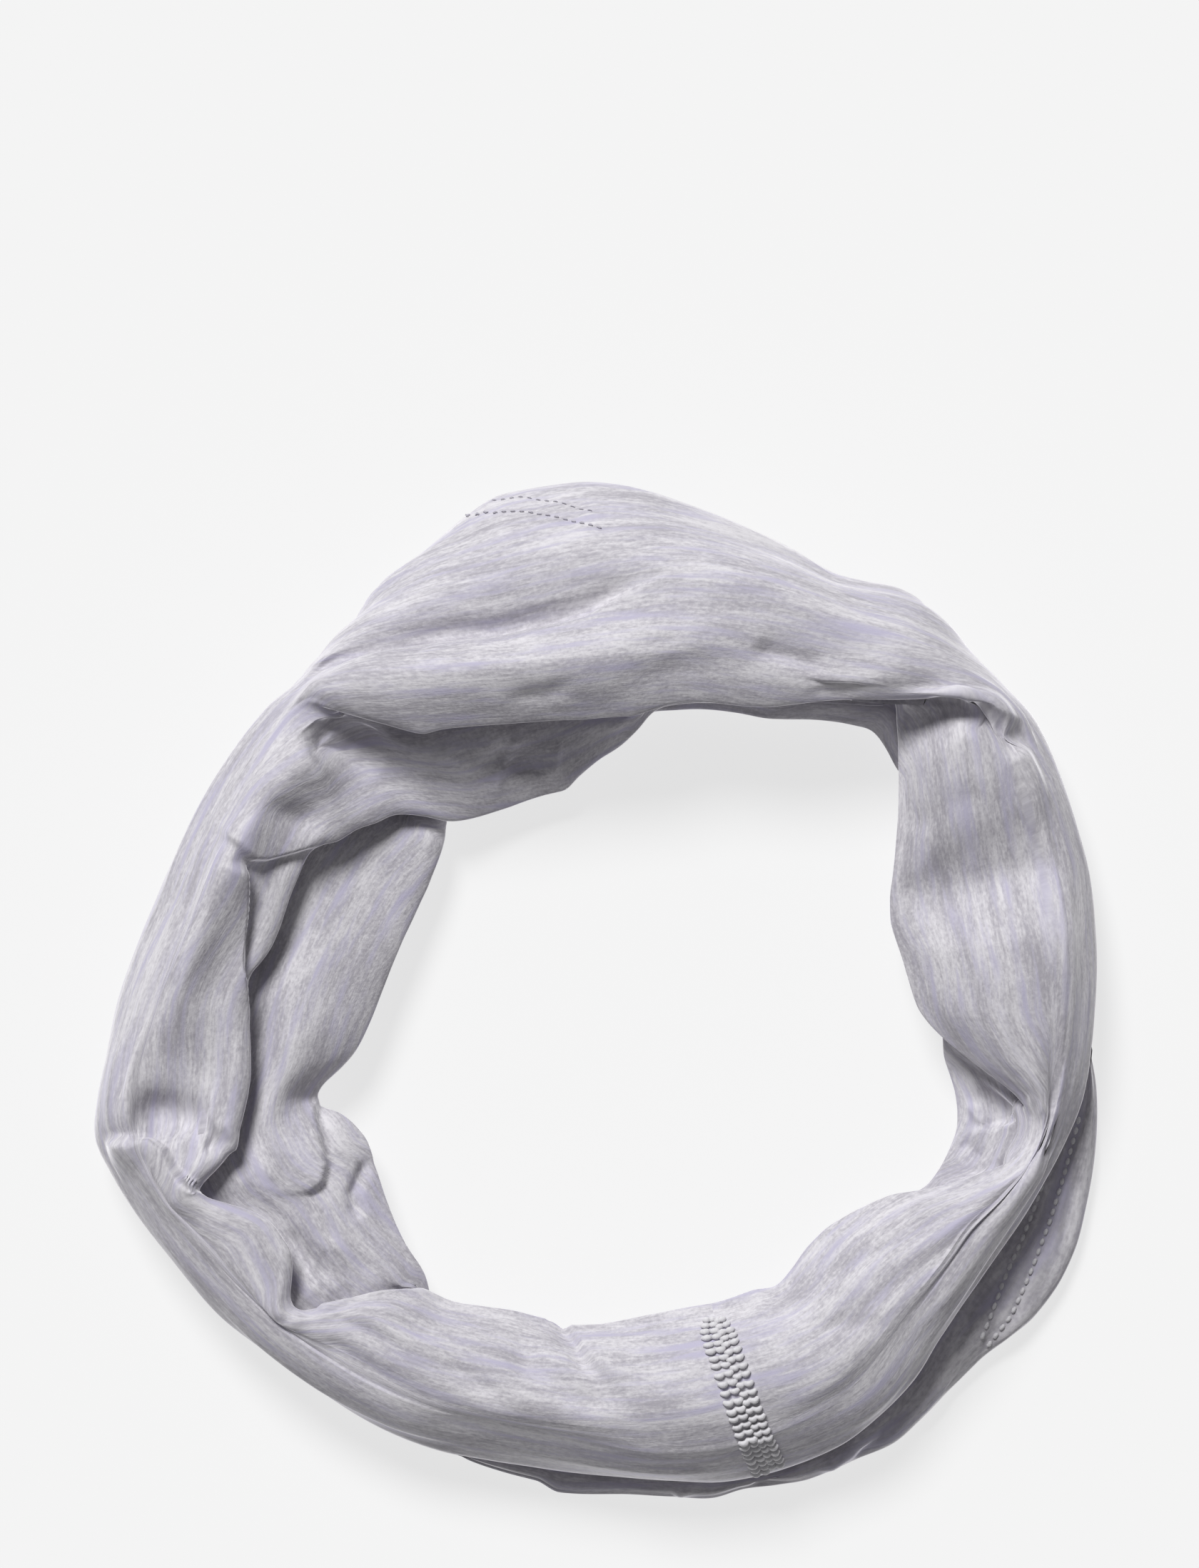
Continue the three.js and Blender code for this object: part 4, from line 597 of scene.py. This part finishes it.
def shell(name, face, under, normal, along, across, ring=True):
    """A closed shell of cloth: the face's grid, a back with half as many rows and columns taken from
    the grid under it, and strips that join the two round the rims."""
    n, m = face.shape[:2]
    back = under[::2, ::2]
    p, q = back.shape[:2]
    verts = np.concatenate([face.reshape(-1, 3), back.reshape(-1, 3)]) * MM
    verts[:, 2] = np.maximum(verts[:, 2], 0.0)
    turned = np.concatenate([normal.reshape(-1, 3), -normal[::2, ::2].reshape(-1, 3)])
    f = np.arange(n * m).reshape(n, m)
    b = n * m + np.arange(p * q).reshape(p, q)
    if ring:
        f, b = np.vstack([f, f[:1]]), np.vstack([b, b[:1]])
    quads = [np.stack([f[:-1, :-1], f[1:, :-1], f[1:, 1:], f[:-1, 1:]], -1).reshape(-1, 4),
             np.stack([b[:-1, :-1], b[:-1, 1:], b[1:, 1:], b[1:, :-1]], -1).reshape(-1, 4)]
    tris = []

    def rim(fine, coarse):
        """Triangles between an edge of the face and one of the back, three for each two columns."""
        f0, f1, f2, c0, c1 = fine[:-2:2], fine[1:-1:2], fine[2::2], coarse[:-1], coarse[1:]
        tris.extend(np.stack(t, -1) for t in ([f0, c0, f1], [c0, c1, f1], [c1, f2, f1]))

    rim(f[:, 0], b[:, 0])
    rim(f[::-1, -1], b[::-1, -1])
    if not ring:
        rim(f[0, ::-1], b[0, ::-1])
        rim(f[-1], b[-1])
    quads, tris = np.concatenate(quads), np.concatenate(tris)
    corner = np.concatenate([quads.reshape(-1), tris.reshape(-1)])
    mesh = bpy.data.meshes.new(name)
    mesh.vertices.add(len(verts))
    mesh.vertices.foreach_set("co", verts.reshape(-1))
    mesh.loops.add(len(corner))
    mesh.loops.foreach_set("vertex_index", corner.astype(np.int32))
    starts = np.concatenate([np.arange(len(quads)) * 4, len(quads) * 4 + np.arange(len(tris)) * 3])
    mesh.polygons.add(len(starts))
    mesh.polygons.foreach_set("loop_start", starts.astype(np.int32))
    mesh.update(calc_edges=True)
    # the panel's own measures, in metres, as a map; it breaks only at the seam
    u = np.broadcast_to(along, (n, m)).reshape(-1)
    v = np.broadcast_to(across, (n, m)).reshape(-1)
    u = np.concatenate([u, u.reshape(n, m)[::2, ::2].reshape(-1)])[corner] * MM
    v = np.concatenate([v, v.reshape(n, m)[::2, ::2].reshape(-1)])[corner] * MM
    if ring:
        cut = len(quads) * 4
        for part, size in ((slice(0, cut), 4), (slice(cut, None), 3)):
            w = u[part].reshape(-1, size)
            high = w.max(axis=1, keepdims=True) > 0.75 * ROUND * MM
            w[:] = np.where(high & (w < 0.25 * ROUND * MM), w + ROUND * MM, w)
    layer = mesh.uv_layers.new(name="panel")
    layer.data.foreach_set("uv", np.stack([u, v], -1).astype(np.float32).reshape(-1))
    mesh.shade_smooth()
    mesh.normals_split_custom_set_from_vertices(turned.astype(np.float32))
    piece = bpy.data.objects.new(name, mesh)
    bpy.context.scene.collection.objects.link(piece)
    return piece


def wire(tree, kind, **settings):
    """A node with its settings; a setting's key is an attribute, or a socket where that is a name."""
    node = tree.nodes.new(kind)
    for key, value in settings.items():
        if hasattr(node, key):
            setattr(node, key, value)
        else:
            node.inputs[key.replace("_", " ")].default_value = value
    return node


# The jersey's look: yarn spun from pale and lavender-grey wool, so that each course of the knit is a
# streak that changes tone along the yarn. Long streaks, short streaks and broad clouds are mixed.
look = bpy.data.node_groups.new("heathered_jersey", "ShaderNodeTree")
for socket, way, kind in (("Pale", "INPUT", "NodeSocketColor"), ("Deep", "INPUT", "NodeSocketColor"),
                          ("Tint", "INPUT", "NodeSocketColor"), ("Color", "OUTPUT", "NodeSocketColor"),
                          ("Height", "OUTPUT", "NodeSocketFloat")):
    look.interface.new_socket(name=socket, in_out=way, socket_type=kind)
inputs, outputs = wire(look, "NodeGroupInput"), wire(look, "NodeGroupOutput")
panel = wire(look, "ShaderNodeUVMap", uv_map="panel")


def streaks(scale, detail, rough, seed):
    """Noise on the panel's own measures: scale gives the changes for each metre along and across."""
    place = wire(look, "ShaderNodeMapping")
    place.inputs["Scale"].default_value = (scale[0], scale[1], 1)
    place.inputs["Location"].default_value = (seed * 7.3, seed * 3.1, seed)
    look.links.new(panel.outputs[0], place.inputs["Vector"])
    noise = wire(look, "ShaderNodeTexNoise", Scale=1.0, Detail=detail, Roughness=rough)
    look.links.new(place.outputs[0], noise.inputs["Vector"])
    return noise.outputs["Fac"]


def blend(a, b, share):
    """Two values mixed by a fixed share."""
    node = wire(look, "ShaderNodeMix")
    node.inputs[0].default_value = share
    look.links.new(a, node.inputs[2])
    look.links.new(b, node.inputs[3])
    return node.outputs[0]


def spread(tree, value, low, high):
    """A value stretched by a soft step, so that low becomes 0 and high becomes 1."""
    node = wire(tree, "ShaderNodeMapRange", interpolation_type="SMOOTHSTEP", From_Min=low, From_Max=high)
    tree.links.new(value, node.inputs["Value"])
    return node.outputs["Result"]


def two_tone(tree, share, first, second):
    """A colour between two, by a share. Each is a colour, or the output of another node."""
    node = wire(tree, "ShaderNodeMix", data_type="RGBA")
    tree.links.new(share, node.inputs[0])
    for socket, colour in ((node.inputs[6], first), (node.inputs[7], second)):
        if isinstance(colour, tuple):
            socket.default_value = colour
        else:
            tree.links.new(colour, socket)
    return node.outputs[2]


slubs = streaks((65, 560), 3.0, 0.62, 1)
yarns = streaks((260, 2000), 3.0, 0.65, 2)
clouds = streaks((42, 160), 4.0, 0.65, 3)
flecks = streaks((900, 1500), 2.0, 0.6, 7)
tinted = streaks((45, 420), 3.0, 0.6, 4)
tone = spread(look, blend(blend(blend(slubs, yarns, 0.45), clouds, 0.45), flecks, 0.22), 0.39, 0.61)
heather = two_tone(look, tone, inputs.outputs["Deep"], inputs.outputs["Pale"])
heather = two_tone(look, spread(look, tinted, 0.45, 0.74), heather, inputs.outputs["Tint"])
look.links.new(heather, outputs.inputs["Color"])
knit = blend(streaks((260, 2300), 2.0, 0.6, 5), streaks((1100, 1300), 2.0, 0.6, 6), 0.5)
look.links.new(knit, outputs.inputs["Height"])


def surface(name, settings):
    """A new material, its node tree, and its Principled shader with these sockets set."""
    material = bpy.data.materials.new(name)
    material.use_nodes = True
    shader = material.node_tree.nodes["Principled BSDF"]
    for socket, value in settings.items():
        shader.inputs[socket].default_value = value
    return material, material.node_tree, shader


def bumped(tree, shader, height, strength, depth):
    """A height from 0 to 1 as bump on a shader's normal, depth metres deep."""
    node = wire(tree, "ShaderNodeBump", Strength=strength, Distance=depth)
    tree.links.new(height, node.inputs["Height"])
    tree.links.new(node.outputs["Normal"], shader.inputs["Normal"])


# the jersey is a dull knit: the heather's colours, its height as bump, a soft sheen and a painted glow
PALE = (0.66, 0.645, 0.675, 1)
wool, tree, shader = surface("heathered_wool_jersey", {
    "Roughness": 0.92, "Specular IOR Level": 0.2, "Sheen Weight": 0.45, "Sheen Roughness": 0.35,
    "Emission Strength": 0.45})
heather = wire(tree, "ShaderNodeGroup", node_tree=look)
heather.inputs["Pale"].default_value = PALE
heather.inputs["Deep"].default_value = (0.37, 0.355, 0.395, 1)
heather.inputs["Tint"].default_value = (0.46, 0.44, 0.555, 1)
tree.links.new(heather.outputs["Color"], shader.inputs["Base Color"])
bumped(tree, shader, heather.outputs["Height"], 0.35, 0.0004)
# painted highlight: where the cloth turns away from the eye it glows in its pale tone, like fuzz catching
# light
facing = wire(tree, "ShaderNodeLayerWeight", Blend=0.5)
painted_rim_glow = two_tone(tree, spread(tree, facing.outputs["Facing"], 0.55, 1.0), (0, 0, 0, 1), PALE)
tree.links.new(painted_rim_glow, shader.inputs["Emission Color"])


def layer_of_tube(name, first, last, nodes):
    """The rows of the tube's cloth from one named point to another, as a piece that stands for
    these nodes."""
    rows = slice(row[first], row[last] + 1)
    piece = shell(name, cloth[:, rows], lining[:, rows], upright[:, rows], around, length[:, rows])
    piece.data.materials.append(wool)
    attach(piece, "root")
    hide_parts(*nodes)


layer_of_tube("tube_outer_cloth", "foot", "front.turn", [
    "upper_outer_stretch", "front_roll_stretch", "left_stretch", "bottom_stretch"])
layer_of_tube("tube_middle_cloth", "front.turn", "edge.turn", [
    "right_stretch", "right_upper_stretch", "inner_top_stretch", "upper_left_stretch",
    "lower_left_stretch"])
layer_of_tube("tube_low_cloth", "edge.turn", "last", [
    "hidden_folds", "left_inner_stretch", "lower_left_inner_stretch", "right_inner_stretch",
    "top_inner_stretch"])

# ---------------------------------------------------------------------------------------------------
# The outer hem: the tube's other end, turned once and stitched flat, lying out on the table under
# the lower right of the ring. It is double cloth, and its inner part runs in under the outer roll.
# ---------------------------------------------------------------------------------------------------
HEM = [                   # its outermost line, and its height there
    [0, 89.4, 2.2], [4, 87.4, 2], [30, 87, 1.9], [236, 87, 1.9], [247, 91.6, 1.9], [252, 93.6, 1.9],
    [256, 93.9, 2], [260, 94.2, 2], [263, 95.8, 2.1], [270, 95.4, 2.4], [276, 96.4, 2.8],
    [281, 97.8, 3.8], [284, 97.4, 3.6], [288, 98.4, 4], [292, 99.5, 4.8], [297, 99.7, 5.4],
    [302, 100.6, 5.8], [306, 99.7, 5.8], [311, 98.6, 6], [315, 98.4, 6.2], [319, 99.4, 5.6],
    [323, 100.9, 5.4], [327, 101.2, 5.4], [331, 100.7, 5.2], [337, 98.7, 5.2], [343, 96.7, 5.6],
    [350, 94.1, 5.2], [355, 91.6, 3.4],
]
HEM_WALL = 0.8                        # how far its back lies under its face
HEM_ALONG = 300                       # where it lies along the panel, for the yarn's streaks
HEM_COLUMNS = 352
hem_turns = np.linspace(238, 366, HEM_COLUMNS + 1)
hem_out, hem_up = line(HEM, hem_turns)
hem_rim = line(RIM, hem_turns)[0]
hem_in = np.minimum(hem_rim - 0.2, hem_out - 0.8)          # where the outer roll covers it
hem_points = {
    "back": [hem_rim - 9, 0.8 + 0 * hem_rim], "turned": [hem_out - 1.2, 0.9 + 0 * hem_rim],
    "edge": [hem_out, hem_up * 0.45], "over": [hem_out - 0.5, hem_up * 0.8],
    "top": [(hem_in + 2 * hem_out) / 3, hem_up + 0.6], "by_roll": [hem_in, hem_up * 0.9],
    "under_roll": [hem_in - 1.6, 2.0 + 0 * hem_rim], "tucked": [hem_rim - 9, 1.7 + 0 * hem_rim],
}
HEM_ROWS = {"back": 4, "turned": 4, "edge": 6, "over": 20, "top": 20, "by_roll": 6, "under_roll": 4}
hem_profile, hem_row = curve(hem_points, HEM_ROWS)
hem_cloth = placed(hem_profile, hem_turns)
OUTER_HEM = [                         # its two rows of stitches: (turn, out)
    [[316.8, 97.8], [321.6, 97.2], [327, 95.2], [333, 93.6], [339, 92.4], [346, 91.9]],
    [[317, 95.6], [319.8, 94.1], [324, 91.9], [330, 90.4], [333.6, 89.7], [337, 89.3]],
]
GROOVE = (0.7, 0.5)                   # the groove along each row: width, depth
RUMPLES = [                           # soft rumples: path, width, depth
    ([[276, 96.4], [279, 94.6], [282, 93.2]], 1.2, -0.8), ([[285, 98], [288, 96.6], [292, 94.6]], 1.4, 0.8),
    ([[293, 99.2], [297, 97.6], [302, 94.4]], 1.3, -0.9), ([[297, 100], [301, 98.4], [306, 95]], 1.2, 0.9),
    ([[305, 98.6], [309, 96.6], [315, 92.6]], 1.6, -0.7), ([[309, 99], [318, 97], [326, 92.6]], 1.2, 0.6),
    ([[316, 100], [324, 99], [334, 96.6]], 1.3, -0.5), ([[322, 99.6], [332, 97.4], [342, 94.4]], 1.1, 0.5),
]
hem_push = np.zeros(hem_cloth.shape[:2])
for path, width, depth in RUMPLES + [(path, *GROOVE) for path in OUTER_HEM]:
    side, share = beside(path, hem_cloth[..., :2])
    hem_push -= depth * np.exp(-((side / width) ** 2)) * tapered(share, 0.2, 0.2)
hem_push *= smooth((np.arange(hem_cloth.shape[1]) - hem_row["edge"]) / 8)[None]
hem_around = (ROUND * (hem_turns - SEAM_TURN) / 360 + ROUND)[:, None]
hem_across = np.concatenate([[0], np.cumsum(np.linalg.norm(np.diff(hem_profile, axis=0), axis=2)
                                            .mean(axis=1))])[None] + HEM_ALONG
hem_upright = square_to(hem_cloth, ring=False)
hem_lining = hem_cloth - HEM_WALL * hem_upright
hem_cloth = hem_cloth + hem_push[..., None] * hem_upright
hem_upright = square_to(hem_cloth, ring=False)
hem_piece = shell("outer_hem_cloth", hem_cloth, hem_lining, hem_upright, hem_around, hem_across,
                  ring=False)
hem_piece.data.materials.append(wool)
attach(hem_piece, "root")
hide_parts("outer_hem_stretch")

# ---------------------------------------------------------------------------------------------------
# The flatlock seam: the panel's two short edges lie side by side under looper thread, which crosses
# them in two staggered columns of soft loops. The thread goes through the cloth at each loop's ends.
# ---------------------------------------------------------------------------------------------------
PITCH = 1.76                          # from one row of loops to the next, along the seam
LOOPS = [(-3.6, 0.15, 0.0), (-0.1, 3.1, 0.5)]      # each column's edges, and its stagger in pitches
SHORT_OF = (3.4, 4.2)                 # how far the loops stop short of the seam's two ends
END_LOOPS = [0.6, 0.82, 0.95, 1]      # widths of the last loops by the opening, of a full loop's
LOOP_SAG = 0.42                       # how far a loop's two halves sag along the seam
LOOP_LIFT = (0.22, 0.34)              # a loop's height over the cloth at its ends, and what its halves add
LOOP_RADIUS = (0.36, 0.27)            # the thread's radius there, and what its halves add


def laid_on(grid, normal, column, line_at, lift):
    """Points lift mm over a grid at fractional columns and rows, from the four points around each."""
    c, r = np.floor(column).astype(int), np.floor(line_at).astype(int)
    u, v = (column - c)[..., None], (line_at - r)[..., None]
    near, far = c % len(grid), (c + 1) % len(grid)

    def between_four(a):
        """A grid's value there, mixed from its four nearest in proportion to how near they are."""
        return ((a[near, r] * (1 - u) + a[far, r] * u) * (1 - v)
                + (a[near, r + 1] * (1 - u) + a[far, r + 1] * u) * v)

    return between_four(grid) + between_four(normal) * lift[..., None]


def threads(name, path, radius, up, sides=8):
    """Round threads joined in one mesh: rings of points round each path. path [thread, point, xyz] and
    radius [thread, point] are in mm, and up is about square to the cloth. A face closes each end."""
    ahead = np.gradient(path, axis=1)
    ahead /= np.linalg.norm(ahead, axis=2, keepdims=True)
    side = np.cross(ahead, up)
    side /= np.linalg.norm(side, axis=2, keepdims=True)
    top = np.cross(side, ahead)
    angle = 2 * math.pi * np.arange(sides)[:, None] / sides
    ring = np.cos(angle) * side[:, :, None] + np.sin(angle) * top[:, :, None]
    ring = ring * radius[..., None, None]
    n, m = radius.shape
    verts = (path[:, :, None] + ring).reshape(-1, 3) * MM
    k = np.arange(n * m * sides).reshape(n, m, sides)
    after = np.roll(k, -1, axis=2)
    quads = np.stack([k[:, :-1], k[:, 1:], after[:, 1:], after[:, :-1]], -1).reshape(-1, 4)
    faces = quads.tolist() + k[:, 0].tolist() + k[:, -1, ::-1].tolist()
    mesh = bpy.data.meshes.new(name)
    mesh.from_pydata(verts.tolist(), [], faces)
    mesh.shade_smooth()
    piece = bpy.data.objects.new(name, mesh)
    bpy.context.scene.collection.objects.link(piece)
    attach(piece, "root")
    return piece


def thread_material(name, pale, deep):
    """Spun thread: its tone wanders between a pale and a deep one, with a fine roughness as bump."""
    material, tree, shader = surface(name, {"Roughness": 0.8, "Sheen Weight": 0.3})
    place = wire(tree, "ShaderNodeTexCoord")
    noise = wire(tree, "ShaderNodeTexNoise", Scale=1400.0, Detail=3.0, Roughness=0.6)
    tree.links.new(place.outputs["Object"], noise.inputs["Vector"])
    tone = two_tone(tree, noise.outputs["Fac"], (*deep, 1), (*pale, 1))
    tree.links.new(tone, shader.inputs["Base Color"])
    bumped(tree, shader, noise.outputs["Fac"], 0.4, 0.0003)
    return material


rng = np.random.default_rng(8)
seam_rows = np.arange(row["rim"], row["edge.edge"] + 1)
seam_run = run[seam_rows, 0]
paths, radii = [], []
for left, right, stagger in LOOPS:
    # the loops from the opening's side to the rim, each a little out of line, as a machine leaves them
    at_run = np.arange(seam_run[-1] - SHORT_OF[1] - stagger * PITCH, seam_run[0] + SHORT_OF[0], -PITCH)
    at_run = at_run + rng.normal(0, 0.07, len(at_run))
    width = np.interp(np.arange(len(at_run)), np.arange(4), END_LOOPS)[:, None]
    t = np.linspace(0, 1, 17)[None]
    bowl = np.abs(np.sin(2 * math.pi * t)) * (1 + rng.normal(0, 0.12, (len(at_run), 1)))
    across = width * (left + (right - left) * t) + rng.normal(0, 0.06, (len(at_run), 1))
    along = at_run[:, None] - LOOP_SAG * bowl + rng.normal(0, 0.1, (len(at_run), 1)) * (t - 0.5)
    line_at = np.interp(np.maximum(along, seam_run[0] + 0.05), seam_run, seam_rows)
    out = np.interp(line_at, seam_rows, profile[seam_rows, 0, 0])
    turn = np.interp(out, *np.array(SEAM).T[::-1]) + np.degrees(across / out)
    column = (turn - SEAM_TURN) * COLUMNS / 360
    paths.append(laid_on(cloth, upright, column, line_at, LOOP_LIFT[0] + LOOP_LIFT[1] * bowl))
    radii.append(LOOP_RADIUS[0] + LOOP_RADIUS[1] * bowl)
seam_stitches = threads("flatlock_seam_stitches", np.concatenate(paths), np.concatenate(radii),
                        upright[0, row["shoulder"]])
looper = thread_material("looper_thread", (0.78, 0.77, 0.79), (0.5, 0.49, 0.52))
seam_stitches.data.materials.append(looper)
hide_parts("flatlock_seam")

# ---------------------------------------------------------------------------------------------------
# The hems' stitches: two rows on each hem, where short lengths of thread show between the needle's
# holes. On the outer hem they're pale, and on the upper hem small and darker.
# ---------------------------------------------------------------------------------------------------
STITCH_LIFT = (0.05, 0.25)            # a stitch's height over the cloth, and what its middle adds
# from one stitch to the next, half a stitch, and the thread's radius in each of the two rows
OUTER_GAP, OUTER_HALF, OUTER_RADII = 2.05, 0.68, (0.44, 0.44)
UPPER_GAP, UPPER_HALF, UPPER_RADII = 1.7, 0.42, (0.22, 0.12)


def row_at(outs, column, reach, first, last):
    """At each column, the fractional row between first and last where the section passes a distance
    out: its rows are put in order of distance, and the row is read off in a straight line."""
    lines = np.arange(first, last + 1)
    place = outs[lines][:, np.rint(column).astype(int) % outs.shape[1]]
    order = np.argsort(place, axis=0)
    place = np.take_along_axis(place, order, 0)
    k = np.clip((place < reach).sum(axis=0), 1, len(lines) - 1)[None]
    low, high = np.take_along_axis(place, k - 1, 0), np.take_along_axis(place, k, 0)
    share = np.clip((reach - low) / (high - low), 0, 1)
    start, end = lines[np.take_along_axis(order, k - 1, 0)], lines[np.take_along_axis(order, k, 0)]
    return (start + share * (end - start))[0]


def stitch_row(path, radius, gap, half, grid, normal, outs, first_turn, per_degree, rows):
    """One row of stitches on a grid of cloth: at even gaps along a path, a short thread that reaches
    half each way and bows up in its middle. Returns the threads' points and their radius there."""
    flat = polar(path)
    legs = np.concatenate([[0], np.cumsum(np.linalg.norm(np.diff(flat, axis=0), axis=1))])
    at = np.arange(0.5 * gap, legs[-1], gap)
    xy = np.stack([np.interp(at, legs, flat[:, i]) for i in (0, 1)], -1) - MIDDLE
    turn, out = np.degrees(np.arctan2(xy[:, 1], xy[:, 0])), np.hypot(xy[:, 0], xy[:, 1])
    drift = np.gradient(out) / np.abs(np.gradient(np.unwrap(np.radians(turn))) * out)
    ways = np.linspace(-1, 1, 7)[None]
    column = ((turn - first_turn) % 360)[:, None] + np.degrees(half * ways / out[:, None])
    column = column * per_degree
    reach = out[:, None] + drift[:, None] * half * ways
    bow = np.sqrt(1 - 0.85 * ways**2) * np.ones((len(at), 1))
    line_at = row_at(outs, column, reach, *rows)
    lift = STITCH_LIFT[0] + STITCH_LIFT[1] * bow
    return laid_on(grid, normal, column, line_at, lift), radius * bow


def hem_stitches(name, rows, material, *layout):
    """A hem's rows of stitches as one piece. Each row is a path and its thread's radius."""
    made = [stitch_row(path, radius, *layout) for path, radius in rows]
    piece = threads(name, np.concatenate([m[0] for m in made]), np.concatenate([m[1] for m in made]),
                    np.array([0, 0, 1.0]), sides=6)
    piece.data.materials.append(material)


hem_stitches("outer_hem_stitches", zip(OUTER_HEM, OUTER_RADII), looper, OUTER_GAP, OUTER_HALF,
             hem_cloth, hem_upright, hem_profile[..., 0], hem_turns[0], HEM_COLUMNS / np.ptp(hem_turns),
             (hem_row["over"], hem_row["by_roll"] + 3))
# the upper hem's thread is darker than the outer hem's: partly its own colour, partly painted shade for the
# shadow on each small stitch
cover = thread_material("cover_thread", (0.5, 0.485, 0.54), (0.38, 0.365, 0.42))
hem_stitches("upper_hem_stitches", zip(UPPER_HEM, UPPER_RADII), cover, UPPER_GAP, UPPER_HALF,
             cloth, upright, profile[..., 0], SEAM_TURN, COLUMNS / 360, (row["rim"], row["brow"]))

# ---------------------------------------------------------------------------------------------------
# The table is matt and pale. The light is one broad window behind the ring and a little to its left,
# with a little from all round, and the camera looks straight down from high above.
# ---------------------------------------------------------------------------------------------------
FAR, LEVEL = 6, -0.0002               # how far the table reaches, and its level just under the cloth
table_mesh = bpy.data.meshes.new("table")
table_mesh.from_pydata([(x, y, LEVEL) for x, y in ((-FAR, -FAR), (FAR, -FAR), (FAR, FAR), (-FAR, FAR))],
                       [], [(0, 1, 2, 3)])
table = bpy.data.objects.new("table", table_mesh)
bpy.context.scene.collection.objects.link(table)
pale_paint = surface("pale_table", {
    "Base Color": (0.2, 0.2, 0.2, 1), "Emission Color": (1, 1, 1, 1), "Emission Strength": 0.71,
    "Roughness": 1.0, "Specular IOR Level": 0.0})[0]
table.data.materials.append(pale_paint)

sun = bpy.data.lights.new("window", "SUN")
sun.energy = 3.3
sun.angle = math.radians(20)
window = bpy.data.objects.new("window", sun)
azimuth, height = math.radians(112), math.radians(49)
window.rotation_euler = (math.pi / 2 - height, 0, azimuth + math.pi / 2)
bpy.context.scene.collection.objects.link(window)

world = bpy.data.worlds.new("studio")
world.use_nodes = True
world.node_tree.nodes["Background"].inputs["Color"].default_value = (1, 1, 1, 1)
world.node_tree.nodes["Background"].inputs["Strength"].default_value = 0.18
bpy.context.scene.world = world
bpy.context.scene.view_settings.view_transform = "Standard"

LENS, FILM = 240, 36                  # the camera's, in mm
WIDE, AHEAD, UP = 0.303, 0.040, 0.015  # how wide it sees, and the middle of what it sees, in metres
camera = bpy.data.cameras.new("camera")
camera.lens = LENS
camera.clip_end = 20
eye = bpy.data.objects.new("camera", camera)
eye.location = (0, AHEAD, UP + WIDE * LENS / FILM)
bpy.context.scene.collection.objects.link(eye)
bpy.context.scene.camera = eye
